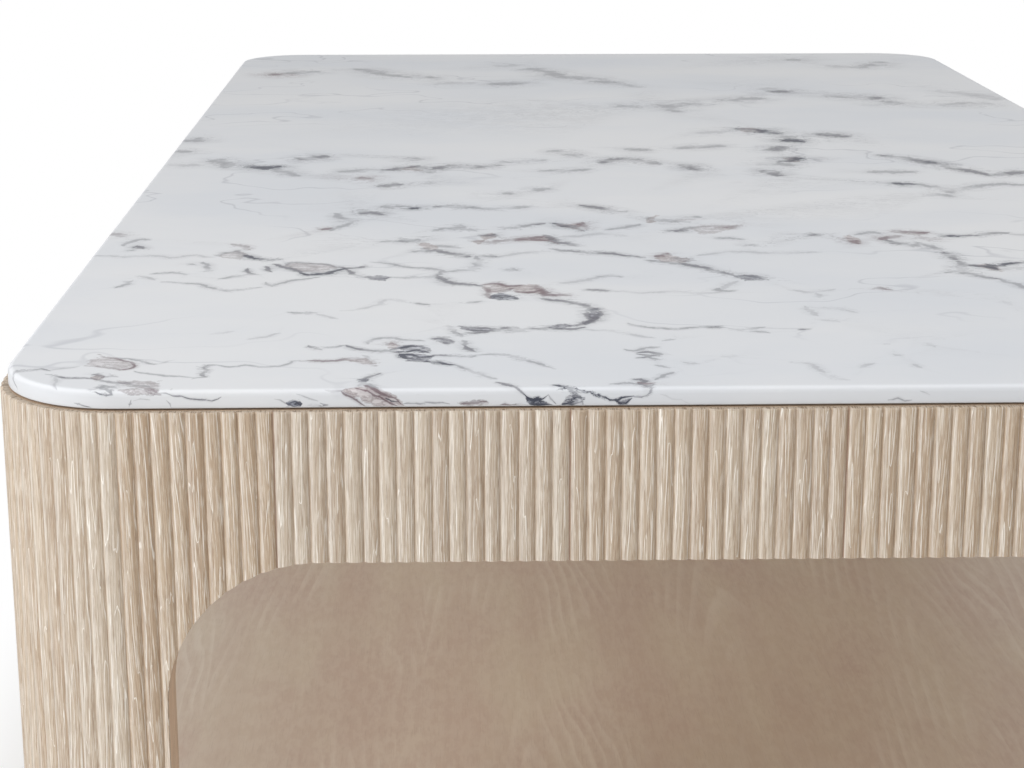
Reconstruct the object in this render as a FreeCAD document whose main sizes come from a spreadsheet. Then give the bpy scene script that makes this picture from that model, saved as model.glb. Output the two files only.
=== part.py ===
# Cocktail table: a thin marble slab on a casing of reeded oak with window openings and a lower shelf.
# Millimetres, +Z up, the origin on the floor at the middle of the table. X runs across the table and
# Y along it. The end that faces -Y is the front.
import FreeCAD, Part
import math
import os
import Sketcher

Vector = FreeCAD.Vector
Rotation = FreeCAD.Rotation
Placement = FreeCAD.Placement

os.makedirs("parts", exist_ok=True)
doc = FreeCAD.newDocument("CocktailTable")

# Driving dimensions, in groups of what they describe
SIZES = [
    # the whole table
    ("overall_width", 762),
    ("overall_length", 1422),
    ("overall_height", 432),
    # the casing and its reeds
    ("casing_corner_radius", 67),
    ("skin_thickness", 4.5),
    ("reed_pitch", 8.5),
    ("reed_depth", 1.3),
    ("wall_thickness", 28.5),
    # the windows, measured from the outside of the casing, its top and its bottom
    ("leg_width", 86.5),
    ("apron_height", 77.3),
    ("plinth_height", 78),
    ("window_radius", 77),
    # loose tongues between posts and walls
    ("tongue_width", 20),
    ("tongue_thickness", 8),
    # the stone
    ("marble_thickness", 9.2),
    ("marble_setback", 4.5),
    ("marble_edge_round", 3.3),
    ("marble_arris", 0.8),
    # soft pads under the stone
    ("pad_height", 1),
    ("pad_width", 20),
    ("pad_edge_distance", 60),
    # the deck under the stone and the shelf
    ("deck_thickness", 18),
    ("shelf_thickness", 20),
    ("panel_clearance", 0.5),
    ("cleat_width", 30),
    ("cleat_height", 30),
    ("bearer_width", 45),
    ("bearer_height", 42),
    # glides under the walls
    ("glide_height", 6),
    ("glide_diameter", 24),
    # every cut runs past the faces it opens by this much
    ("cut_overrun", 5),
]

# Places that follow a size, and counts
BEARER_SHARE = 1 / 6
PAD_ROWS_ALONG = 4
PAD_ROWS_ACROSS = 3

sheet = doc.addObject("Spreadsheet::Sheet", "Sizes")
for line_number, (alias, value) in enumerate(SIZES, start=1):
    sheet.set("A%d" % line_number, alias)
    sheet.set("B%d" % line_number, str(value))
    sheet.setAlias("B%d" % line_number, alias)
doc.recompute()


def size(alias):
    """The value of one driving dimension."""
    return float(sheet.get(alias))


# Expressions that several pieces share, written in the aliases of the sheet
CASING_HEIGHT = "(Sizes.overall_height - Sizes.marble_thickness - Sizes.pad_height - Sizes.glide_height)"
CASING_TOP = "(Sizes.overall_height - Sizes.marble_thickness - Sizes.pad_height)"
END_FLAT = "(Sizes.overall_width - 2 * Sizes.casing_corner_radius)"
SIDE_FLAT = "(Sizes.overall_length - 2 * Sizes.casing_corner_radius)"
WALL_DEPTH = "(Sizes.skin_thickness + Sizes.wall_thickness)"
POST_OUTER = "(Sizes.casing_corner_radius - Sizes.skin_thickness)"
POST_INNER = "(Sizes.casing_corner_radius - %s)" % WALL_DEPTH
POST_MIDDLE = "(%s - Sizes.wall_thickness / 2)" % POST_OUTER
DECK_BOTTOM = "(%s - Sizes.deck_thickness)" % CASING_TOP
SHELF_TOP = "(Sizes.glide_height + Sizes.plinth_height)"
SHELF_BOTTOM = "(%s - Sizes.shelf_thickness)" % SHELF_TOP
PANEL_WIDTH = "(Sizes.overall_width - 2 * %s - 2 * Sizes.panel_clearance)" % WALL_DEPTH
PANEL_LENGTH = "(Sizes.overall_length - 2 * %s - 2 * Sizes.panel_clearance)" % WALL_DEPTH

# The same values as numbers, for the shapes that are drawn by loops
half_width = size("overall_width") / 2
half_length = size("overall_length") / 2
corner_radius = size("casing_corner_radius")
end_flat = size("overall_width") - 2 * corner_radius
side_flat = size("overall_length") - 2 * corner_radius
casing_bottom = size("glide_height")
casing_top = size("overall_height") - size("marble_thickness") - size("pad_height")
casing_height = casing_top - casing_bottom
window_bottom = casing_bottom + size("plinth_height")
window_top = casing_top - size("apron_height")
wall_depth = size("skin_thickness") + size("wall_thickness")
inner_half_width = half_width - wall_depth
inner_half_length = half_length - wall_depth
post_middle = corner_radius - size("skin_thickness") - size("wall_thickness") / 2
overrun = size("cut_overrun")

# The four sides: name, turn about Z in degrees, distance of the outside from the middle, flat length
SIDES = [
    ("front", 0, "overall_length", END_FLAT, end_flat),
    ("right", 90, "overall_width", SIDE_FLAT, side_flat),
    ("rear", 180, "overall_length", END_FLAT, end_flat),
    ("left", 270, "overall_width", SIDE_FLAT, side_flat),
]
# The four corners: name, turn about Z in degrees, sign of X and sign of Y
CORNERS = [
    ("rear_right", 0, 1, 1),
    ("rear_left", 90, -1, 1),
    ("front_left", 180, -1, -1),
    ("front_right", 270, 1, -1),
]

nodes = []


def keep(piece, label):
    """Names a finished piece, so that it is checked and written."""
    piece.Label = label
    nodes.append(piece)
    return piece


def origin_plane(body, role):
    """One of a body's own origin planes."""
    return next(plane for plane in body.Origin.OriginFeatures if plane.Role == role)


def new_sketch(body, name, role):
    """A sketch on one of a body's origin planes."""
    sketch = body.newObject("Sketcher::SketchObject", name)
    sketch.AttachmentSupport = [(origin_plane(body, role), "")]
    sketch.MapMode = "FlatFace"
    return sketch


def set_constraint(sketch, constraint, name, expression):
    """Adds a named constraint and ties it to the sheet."""
    index = sketch.addConstraint(constraint)
    sketch.renameConstraint(index, name)
    sketch.setExpression("Constraints." + name, expression)


def number(expression):
    """The value of an expression of the sheet, for the first drawing of a sketch."""
    return sheet.evalExpression(expression)


def line(start, end):
    return Part.LineSegment(Vector(*start, 0), Vector(*end, 0))


def arc(middle, radius, start, end):
    """A counter-clockwise arc between two angles in degrees."""
    circle = Part.Circle(Vector(*middle, 0), Vector(0, 0, 1), radius)
    return Part.ArcOfCircle(circle, math.radians(start), math.radians(end))


def draw_rectangle(sketch, tag, left, right, bottom, top):
    """A rectangle between four expressions, measured from the sketch's origin."""
    x0, x1, y0, y1 = number(left), number(right), number(bottom), number(top)
    points = [(x0, y0), (x1, y0), (x1, y1), (x0, y1)]
    first = sketch.GeometryCount
    for k in range(4):
        sketch.addGeometry(line(points[k], points[(k + 1) % 4]), False)
    for k in range(4):
        sketch.addConstraint(Sketcher.Constraint("Coincident", first + k, 2, first + (k + 1) % 4, 1))
        direction = "Vertical" if k % 2 else "Horizontal"
        sketch.addConstraint(Sketcher.Constraint(direction, first + k))
    places = [("left", "X", first, 1, left, x0), ("right", "X", first, 2, right, x1),
              ("bottom", "Y", first, 1, bottom, y0), ("top", "Y", first + 2, 1, top, y1)]
    for name, axis, edge, end, expression, value in places:
        rule = Sketcher.Constraint("Distance" + axis, -1, 1, edge, end, value)
        set_constraint(sketch, rule, tag + "_" + name, expression)


def draw_rounded_rectangle(sketch, width, bottom, top, radius):
    """A rectangle with round corners, centred on the vertical axis of the sketch."""
    half, low, high, r = number(width) / 2, number(bottom), number(top), number(radius)
    sketch.addGeometry(line((-half + r, low), (half - r, low)), False)
    sketch.addGeometry(line((half, low + r), (half, high - r)), False)
    sketch.addGeometry(line((half - r, high), (-half + r, high)), False)
    sketch.addGeometry(line((-half, high - r), (-half, low + r)), False)
    sketch.addGeometry(arc((half - r, low + r), r, 270, 360), False)
    sketch.addGeometry(arc((half - r, high - r), r, 0, 90), False)
    sketch.addGeometry(arc((-half + r, high - r), r, 90, 180), False)
    sketch.addGeometry(arc((-half + r, low + r), r, 180, 270), False)
    for k in range(4):
        sketch.addConstraint(Sketcher.Constraint("Tangent", k, 2, 4 + k, 1))
        sketch.addConstraint(Sketcher.Constraint("Tangent", 4 + k, 2, (k + 1) % 4, 1))
        sketch.addConstraint(Sketcher.Constraint("Vertical" if k % 2 else "Horizontal", k))
    for k in range(5, 8):
        sketch.addConstraint(Sketcher.Constraint("Equal", 4, k))
    rules = [("half_width", Sketcher.Constraint("DistanceX", -1, 1, 1, 1, half), width + " / 2"),
             ("width", Sketcher.Constraint("DistanceX", 3, 1, 1, 1, 2 * half), width),
             ("bottom", Sketcher.Constraint("DistanceY", -1, 1, 0, 1, low), bottom),
             ("top", Sketcher.Constraint("DistanceY", -1, 1, 2, 1, high), top),
             ("radius", Sketcher.Constraint("Radius", 4, r), radius)]
    for name, rule, expression in rules:
        set_constraint(sketch, rule, name, expression)


def draw_quarter_ring(sketch, outer, inner):
    """A quarter of a ring about the sketch's origin, in its first quadrant."""
    big, small = number(outer), number(inner)
    sketch.addGeometry(arc((0, 0), big, 0, 90), False)
    sketch.addGeometry(arc((0, 0), small, 0, 90), False)
    sketch.addGeometry(line((small, 0), (big, 0)), False)
    sketch.addGeometry(line((0, big), (0, small)), False)
    joins = [(0, 3, -1, 1), (1, 3, -1, 1), (2, 1, 1, 1), (2, 2, 0, 1), (3, 1, 0, 2), (3, 2, 1, 2)]
    for first, first_point, second, second_point in joins:
        sketch.addConstraint(Sketcher.Constraint("Coincident", first, first_point, second, second_point))
    sketch.addConstraint(Sketcher.Constraint("Horizontal", 2))
    sketch.addConstraint(Sketcher.Constraint("Vertical", 3))
    set_constraint(sketch, Sketcher.Constraint("Radius", 0, big), "outer", outer)
    set_constraint(sketch, Sketcher.Constraint("Radius", 1, small), "inner", inner)


def add_pad(body, sketch, length, turned=False):
    pad = body.newObject("PartDesign::Pad", sketch.Name + "_pad")
    pad.Profile = sketch
    pad.setExpression("Length", length)
    pad.Reversed = turned
    sketch.Visibility = False
    return pad


def add_pocket(body, sketch, turned=False):
    """A cut right through the body, on the side of the sketch that the body is on."""
    pocket = body.newObject("PartDesign::Pocket", sketch.Name + "_pocket")
    pocket.Profile = sketch
    pocket.Type = "ThroughAll"
    pocket.Reversed = turned
    sketch.Visibility = False
    return pocket


def place(piece, x="0", y="0", z="0", turn=0):
    """Puts a piece at three expressions of the sheet, turned about Z."""
    piece.Placement = Placement(Vector(number(x), number(y), number(z)), Rotation(Vector(0, 0, 1), turn))
    for axis, expression in zip("xyz", (x, y, z)):
        piece.setExpression("Placement.Base." + axis, expression)


def place_on_side(piece, turn, span, inset, z="0"):
    """Puts a piece that was drawn along X against the side at that turn, its back to the outside."""
    distance = "(Sizes.%s / 2 - %s)" % (span, inset)
    x, y = {0: ("0", "-" + distance), 90: (distance, "0"),
            180: ("0", distance), 270: ("-" + distance, "0")}[turn]
    place(piece, x, y, z, turn)


def place_on_corner(piece, turn, x_sign, y_sign, z="0"):
    """Puts a piece that was drawn in the first quadrant about the middle of a corner's curve."""
    place(piece, "%d * %s / 2" % (x_sign, END_FLAT), "%d * %s / 2" % (y_sign, SIDE_FLAT), z, turn)


# The stone: a slab with round corners, a soft upper edge and a small lower arris

def make_marble():
    body = doc.addObject("PartDesign::Body", "marble")
    outline = new_sketch(body, "marble_outline", "XY_Plane")
    length = "(Sizes.overall_length - 2 * Sizes.marble_setback)"
    width = "(Sizes.overall_width - 2 * Sizes.marble_setback)"
    radius = "(Sizes.casing_corner_radius - Sizes.marble_setback)"
    draw_rounded_rectangle(outline, width, "-%s / 2" % length, "%s / 2" % length, radius)
    slab = add_pad(body, outline, "Sizes.marble_thickness")
    doc.recompute()
    top_face = max(range(len(slab.Shape.Faces)), key=lambda k: slab.Shape.Faces[k].CenterOfMass.z)
    rounding = body.newObject("PartDesign::Fillet", "marble_soft_edge")
    rounding.Base = (slab, ["Face%d" % (top_face + 1)])
    rounding.setExpression("Radius", "Sizes.marble_edge_round")
    doc.recompute()
    low_face = min(range(len(rounding.Shape.Faces)), key=lambda k: rounding.Shape.Faces[k].CenterOfMass.z)
    arris = body.newObject("PartDesign::Chamfer", "marble_lower_arris")
    arris.Base = (rounding, ["Face%d" % (low_face + 1)])
    arris.setExpression("Size", "Sizes.marble_arris")
    place(body, z=CASING_TOP + " + Sizes.pad_height")
    return keep(body, "marble_top")


# The walls: a board on each side with a window cut through it, and grooves for the tongues

def make_wall(side, turn, span, flat):
    body = doc.addObject("PartDesign::Body", "wall_" + side)
    board = new_sketch(body, "board_" + side, "XZ_Plane")
    draw_rectangle(board, "board", "-%s / 2" % flat, "%s / 2" % flat, "0 * Sizes.glide_height", CASING_HEIGHT)
    add_pad(body, board, "Sizes.wall_thickness", turned=True)
    window = new_sketch(body, "window_" + side, "XZ_Plane")
    width = "(Sizes.%s - 2 * Sizes.leg_width)" % {"overall_length": "overall_width"}.get(span, "overall_length")
    draw_rounded_rectangle(window, width, "Sizes.plinth_height", CASING_HEIGHT + " - Sizes.apron_height",
                           "Sizes.window_radius")
    add_pocket(body, window, turned=False)
    grooves = new_sketch(body, "grooves_" + side, "XY_Plane")
    near = "(Sizes.wall_thickness / 2 - Sizes.tongue_thickness / 2)"
    far = "(Sizes.wall_thickness / 2 + Sizes.tongue_thickness / 2)"
    inner_end = "(%s / 2 - Sizes.tongue_width / 2)" % flat
    outer_end = "(%s / 2 + Sizes.cut_overrun)" % flat
    draw_rectangle(grooves, "right", inner_end, outer_end, near, far)
    draw_rectangle(grooves, "left", "-" + outer_end, "-" + inner_end, near, far)
    add_pocket(body, grooves, turned=True)
    place_on_side(body, turn, span, "Sizes.skin_thickness", "Sizes.glide_height")
    return keep(body, "wall_panel_" + side)


def make_post(corner, turn, x_sign, y_sign):
    """A hollow quarter-round post that carries the walls round a corner."""
    body = doc.addObject("PartDesign::Body", "post_" + corner)
    ring = new_sketch(body, "ring_" + corner, "XY_Plane")
    draw_quarter_ring(ring, POST_OUTER, POST_INNER)
    add_pad(body, ring, CASING_HEIGHT)
    grooves = new_sketch(body, "post_grooves_" + corner, "XY_Plane")
    near = "(%s - Sizes.tongue_thickness / 2)" % POST_MIDDLE
    far = "(%s + Sizes.tongue_thickness / 2)" % POST_MIDDLE
    draw_rectangle(grooves, "first", near, far, "-Sizes.cut_overrun", "Sizes.tongue_width / 2")
    draw_rectangle(grooves, "second", "-Sizes.cut_overrun", "Sizes.tongue_width / 2", near, far)
    add_pocket(body, grooves, turned=True)
    place_on_corner(body, turn, x_sign, y_sign, "Sizes.glide_height")
    return keep(body, "corner_post_" + corner)


def make_tongues():
    """Two upright loose tongues at each corner, half in the post and half in the wall."""
    tongues = []
    half_tongue = size("tongue_width") / 2
    thin = size("tongue_thickness")
    for _, turn, x_sign, y_sign in CORNERS:
        for along_x in (True, False):
            if along_x:
                corner_point = Vector(-half_tongue, post_middle - thin / 2, 0)
                tongue = Part.makeBox(2 * half_tongue, thin, casing_height, corner_point)
            else:
                corner_point = Vector(post_middle - thin / 2, -half_tongue, 0)
                tongue = Part.makeBox(thin, 2 * half_tongue, casing_height, corner_point)
            tongue.rotate(Vector(0, 0, 0), Vector(0, 0, 1), turn)
            tongue.translate(Vector(x_sign * end_flat / 2, y_sign * side_flat / 2, casing_bottom))
            tongues.append(tongue)
    group = doc.addObject("Part::Feature", "tongues")
    group.Shape = Part.makeCompound(tongues)
    return keep(group, "wall_tongues")


# The reeded facings. A shallow round reed is two flats here, a rise from the valley to the crest and a
# fall to the next valley. A facing is a run of reeds closed by its back, raised to the casing's height.

def reed_corners(count):
    """Where the corners of a run of reeds lie: shares of the run, and whether each is on the crest."""
    return [(k / (2 * count), k % 2 == 1) for k in range(2 * count + 1)]


def window_tool(width):
    """A prism with round corners, wider than the facing is thick, that cuts the window."""
    half = width / 2
    r = size("window_radius")
    near = -overrun
    low, high = window_bottom - casing_bottom, window_top - casing_bottom
    bend = r * math.sqrt(0.5)

    def at(x, z):
        return Vector(x, near, z)

    def corner(x_sign, z_sign, z_edge):
        centre_x, centre_z = x_sign * (half - r), z_edge - z_sign * r
        return (at(x_sign * half, centre_z), at(centre_x + x_sign * bend, centre_z + z_sign * bend),
                at(centre_x, z_edge))

    lower_right, upper_right = corner(1, -1, low), corner(1, 1, high)
    upper_left, lower_left = corner(-1, 1, high), corner(-1, -1, low)
    edges = [
        Part.LineSegment(lower_right[0], upper_right[0]).toShape(),
        Part.Arc(*upper_right).toShape(),
        Part.LineSegment(upper_right[2], upper_left[2]).toShape(),
        Part.Arc(*reversed(upper_left)).toShape(),
        Part.LineSegment(upper_left[0], lower_left[0]).toShape(),
        Part.Arc(*lower_left).toShape(),
        Part.LineSegment(lower_left[2], lower_right[2]).toShape(),
        Part.Arc(*reversed(lower_right)).toShape(),
    ]
    face = Part.Face(Part.Wire(edges))
    return face.extrude(Vector(0, size("skin_thickness") + 2 * overrun, 0))


def make_flat_skin(side, turn, span, flat):
    """A flat reeded facing, crests on its outside at Y = 0, with the window cut out of it."""
    depth = size("reed_depth")
    back = size("skin_thickness")
    points = [Vector(flat / 2, back, 0), Vector(-flat / 2, back, 0)]
    for share, on_crest in reed_corners(round(flat / size("reed_pitch"))):
        points.append(Vector(flat * (share - 0.5), 0 if on_crest else depth, 0))
    outline = Part.makePolygon(points + points[:1])
    facing = Part.Face(outline).extrude(Vector(0, 0, casing_height))
    across = size("overall_width") if span == "overall_length" else size("overall_length")
    facing = facing.cut(window_tool(across - 2 * size("leg_width")))
    skin = doc.addObject("Part::Feature", "skin_" + side)
    skin.Shape = facing
    place_on_side(skin, turn, span, "0 * Sizes.skin_thickness", "Sizes.glide_height")
    return keep(skin, "reeded_skin_" + side)


def make_corner_skin(corner, turn, x_sign, y_sign):
    """A quarter-round reeded facing about the middle of the corner's curve."""
    quarter = math.pi / 2
    count = round(quarter * corner_radius / size("reed_pitch"))
    valley_radius = corner_radius - size("reed_depth")
    back_radius = corner_radius - size("skin_thickness")
    points = []
    for share, on_crest in reed_corners(count):
        radius = corner_radius if on_crest else valley_radius
        points.append(Vector(radius * math.cos(quarter * share), radius * math.sin(quarter * share), 0))
    back_end = Vector(0, back_radius, 0)
    back_middle = Vector(back_radius * math.sqrt(0.5), back_radius * math.sqrt(0.5), 0)
    back_start = Vector(back_radius, 0, 0)
    edges = Part.makePolygon(points + [back_end]).Edges
    edges.append(Part.Arc(back_end, back_middle, back_start).toShape())
    edges.append(Part.LineSegment(back_start, points[0]).toShape())
    facing = Part.Face(Part.Wire(edges)).extrude(Vector(0, 0, casing_height))
    skin = doc.addObject("Part::Feature", "corner_skin_" + corner)
    skin.Shape = facing
    place_on_corner(skin, turn, x_sign, y_sign, "Sizes.glide_height")
    return keep(skin, "reeded_corner_" + corner)


# Deck and shelf: boards with round corners inside the walls, on cleats and cross bearers

def make_board(name, thickness, bottom):
    """A board inside the walls, with their inner outline less the clearance."""
    body = doc.addObject("PartDesign::Body", name + "_body")
    outline = new_sketch(body, name + "_outline", "XY_Plane")
    radius = "(%s - Sizes.panel_clearance)" % POST_INNER
    draw_rounded_rectangle(outline, PANEL_WIDTH, "-%s / 2" % PANEL_LENGTH, "%s / 2" % PANEL_LENGTH, radius)
    add_pad(body, outline, thickness)
    place(body, z=bottom)
    return keep(body, name)


def make_cleats(prefix, top):
    """A cleat along the inside of each wall, under a board."""
    for side, turn, span, flat, _ in SIDES:
        cleat = doc.addObject("Part::Box", prefix + "_cleat_box_" + side)
        length = "(%s - 2 * Sizes.cleat_width)" % flat if span == "overall_length" else flat
        cleat.setExpression("Length", length)
        cleat.setExpression("Width", "Sizes.cleat_width")
        cleat.setExpression("Height", "Sizes.cleat_height")
        distance = "(Sizes.%s / 2 - %s)" % (span, WALL_DEPTH)
        half = "%s / 2" % length
        x, y = {0: ("-" + half, "-" + distance), 90: (distance, "-" + half),
                180: (half, distance), 270: ("-" + distance, half)}[turn]
        place(cleat, x, y, "%s - Sizes.cleat_height" % top, turn)
        keep(cleat, prefix + "_cleat_" + side)


def make_bearers(prefix, top):
    """Two cross bearers between the cleats of the long sides."""
    for name, sign in (("front", -1), ("rear", 1)):
        bearer = doc.addObject("Part::Box", prefix + "_bearer_box_" + name)
        width = "(Sizes.overall_width - 2 * %s - 2 * Sizes.cleat_width)" % WALL_DEPTH
        bearer.setExpression("Length", width)
        bearer.setExpression("Width", "Sizes.bearer_width")
        bearer.setExpression("Height", "Sizes.bearer_height")
        y = "%d * Sizes.overall_length * %r - Sizes.bearer_width / 2" % (sign, BEARER_SHARE)
        place(bearer, "-%s / 2" % width, y, "%s - Sizes.bearer_height" % top)
        keep(bearer, prefix + "_bearer_" + name)


# Soft pads under the stone and glides under the walls

def make_pads():
    """Rows of square pads on the deck, which hold the stone clear of the casing."""
    width = size("pad_width")
    reach_x = inner_half_width - size("pad_edge_distance")
    reach_y = inner_half_length - size("pad_edge_distance")
    pads = []
    for i in range(PAD_ROWS_ACROSS):
        for j in range(PAD_ROWS_ALONG):
            x = reach_x * (2 * i / (PAD_ROWS_ACROSS - 1) - 1)
            y = reach_y * (2 * j / (PAD_ROWS_ALONG - 1) - 1)
            low_corner = Vector(x - width / 2, y - width / 2, casing_top)
            pads.append(Part.makeBox(width, width, size("pad_height"), low_corner))
    group = doc.addObject("Part::Feature", "pads")
    group.Shape = Part.makeCompound(pads)
    return keep(group, "stone_pads")


def make_glides():
    """A round glide under the middle of each corner post."""
    slant = post_middle * math.sqrt(0.5)
    glides = []
    for _, _, x_sign, y_sign in CORNERS:
        foot = Vector(x_sign * (end_flat / 2 + slant), y_sign * (side_flat / 2 + slant), 0)
        glides.append(Part.makeCylinder(size("glide_diameter") / 2, size("glide_height"), foot))
    group = doc.addObject("Part::Feature", "glides")
    group.Shape = Part.makeCompound(glides)
    return keep(group, "floor_glides")


make_marble()
make_pads()
make_board("deck_panel", "Sizes.deck_thickness", DECK_BOTTOM)
make_cleats("deck", DECK_BOTTOM)
make_bearers("deck", DECK_BOTTOM)
make_board("shelf_panel", "Sizes.shelf_thickness", SHELF_BOTTOM)
make_cleats("shelf", SHELF_BOTTOM)
make_bearers("shelf", SHELF_BOTTOM)
make_tongues()
make_glides()
for side, turn, span, flat, flat_length in SIDES:
    make_wall(side, turn, span, flat)
    make_flat_skin(side, turn, span, flat_length)
for corner, turn, x_sign, y_sign in CORNERS:
    make_post(corner, turn, x_sign, y_sign)
    make_corner_skin(corner, turn, x_sign, y_sign)

doc.recompute()

# Every object is checked before anything is written
for item in doc.Objects:
    if "Invalid" in item.State or "Error" in item.State:
        raise RuntimeError("%s is %s" % (item.Label, item.State))
for piece in nodes:
    if piece.Shape.isNull() or not piece.Shape.isValid():
        raise RuntimeError("%s has no valid shape" % piece.Label)
for piece in nodes:
    box = piece.Shape.BoundBox
    print("%-28s solids %2d  volume %12.1f  x %7.1f %7.1f  y %7.1f %7.1f  z %6.1f %6.1f" % (
        piece.Label, len(piece.Shape.Solids), piece.Shape.Volume,
        box.XMin, box.XMax, box.YMin, box.YMax, box.ZMin, box.ZMax))
    piece.Shape.exportStep("parts/%s.step" % piece.Label)
print("%d nodes" % len(nodes))
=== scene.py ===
# %% [markdown]
# A low cocktail table. A thin marble slab lies loose on a casing of limed, reeded oak, which has a
# window in each side and a shelf inside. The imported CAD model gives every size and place. Here each
# piece gets its finish, and the pieces whose fine shape the CAD keeps plain are made again in detail.

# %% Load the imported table
import math
import random
from collections import namedtuple

import bpy
import numpy as np
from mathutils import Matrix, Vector
from mathutils.geometry import delaunay_2d_cdt


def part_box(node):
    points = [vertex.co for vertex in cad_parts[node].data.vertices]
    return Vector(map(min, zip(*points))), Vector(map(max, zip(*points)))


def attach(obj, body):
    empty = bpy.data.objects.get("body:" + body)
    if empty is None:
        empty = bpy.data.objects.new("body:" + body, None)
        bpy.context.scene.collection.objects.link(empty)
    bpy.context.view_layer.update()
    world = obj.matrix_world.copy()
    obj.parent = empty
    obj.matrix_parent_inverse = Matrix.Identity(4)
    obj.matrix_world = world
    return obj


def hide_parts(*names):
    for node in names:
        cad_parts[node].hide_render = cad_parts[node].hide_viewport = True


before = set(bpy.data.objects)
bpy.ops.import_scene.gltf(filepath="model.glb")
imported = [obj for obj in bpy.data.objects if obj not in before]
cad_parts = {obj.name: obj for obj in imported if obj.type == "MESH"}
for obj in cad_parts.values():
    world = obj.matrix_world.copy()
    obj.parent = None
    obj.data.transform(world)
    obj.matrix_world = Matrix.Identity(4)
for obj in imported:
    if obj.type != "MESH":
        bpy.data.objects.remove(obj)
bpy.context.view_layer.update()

# %% [markdown]
# The camera stands a little above the table, in front of its short end. A camera with a known focal
# length turns any point of the table into a pixel, and the stone's veins are placed by that later on.

# %% The camera
IMAGE_WIDTH, IMAGE_HEIGHT = 1024, 768
SENSOR_MM = 36
LENS_MM = 76.70
CAMERA_PLACE = Vector((-0.14876, -1.72808, 0.71043))
PITCH_DOWN = 15.1263
YAW_RIGHT = 1.5144


def put_in_scene(name, data):
    """A new object in the scene, for a mesh, a lamp or a camera."""
    thing = bpy.data.objects.new(name, data)
    bpy.context.scene.collection.objects.link(thing)
    return thing


camera_data = bpy.data.cameras.new("photo_view")
camera_data.sensor_width = SENSOR_MM
camera_data.lens = LENS_MM
camera = put_in_scene("photo_view", camera_data)
camera.location = CAMERA_PLACE
camera.rotation_euler = (math.radians(90 - PITCH_DOWN), 0, math.radians(-YAW_RIGHT))
bpy.context.scene.camera = camera
bpy.context.view_layer.update()
camera_axes = np.array(camera.matrix_world.to_3x3())
focal_pixels = LENS_MM / SENSOR_MM * IMAGE_WIDTH


def to_pixels(points):
    """Where points of the table, in metres, are seen in the picture."""
    local = (points - np.array(CAMERA_PLACE)) @ camera_axes
    across = IMAGE_WIDTH / 2 - focal_pixels * local[:, 0] / local[:, 2]
    down = IMAGE_HEIGHT / 2 + focal_pixels * local[:, 1] / local[:, 2]
    return np.stack([across, down], axis=1)


print("focal length in pixels:", round(focal_pixels, 1))

# %% [markdown]
# A material is a small network of nodes. These helpers add a node, feed its inputs with a value or
# with another node's output, and give the output back, so that a finish reads like a recipe. Each of
# the small sums, such as times and plus, is one Math node.

# %% Short ways to write node networks
def rgb(red, green, blue):
    """A colour as a paint programme shows it, 0 to 255, turned by the sRGB curve into light."""
    shares = [value / 255 for value in (red, green, blue)]
    linear = [s / 12.92 if s <= 0.04045 else ((s + 0.055) / 1.055) ** 2.4 for s in shares]
    return (*linear, 1.0)


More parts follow.
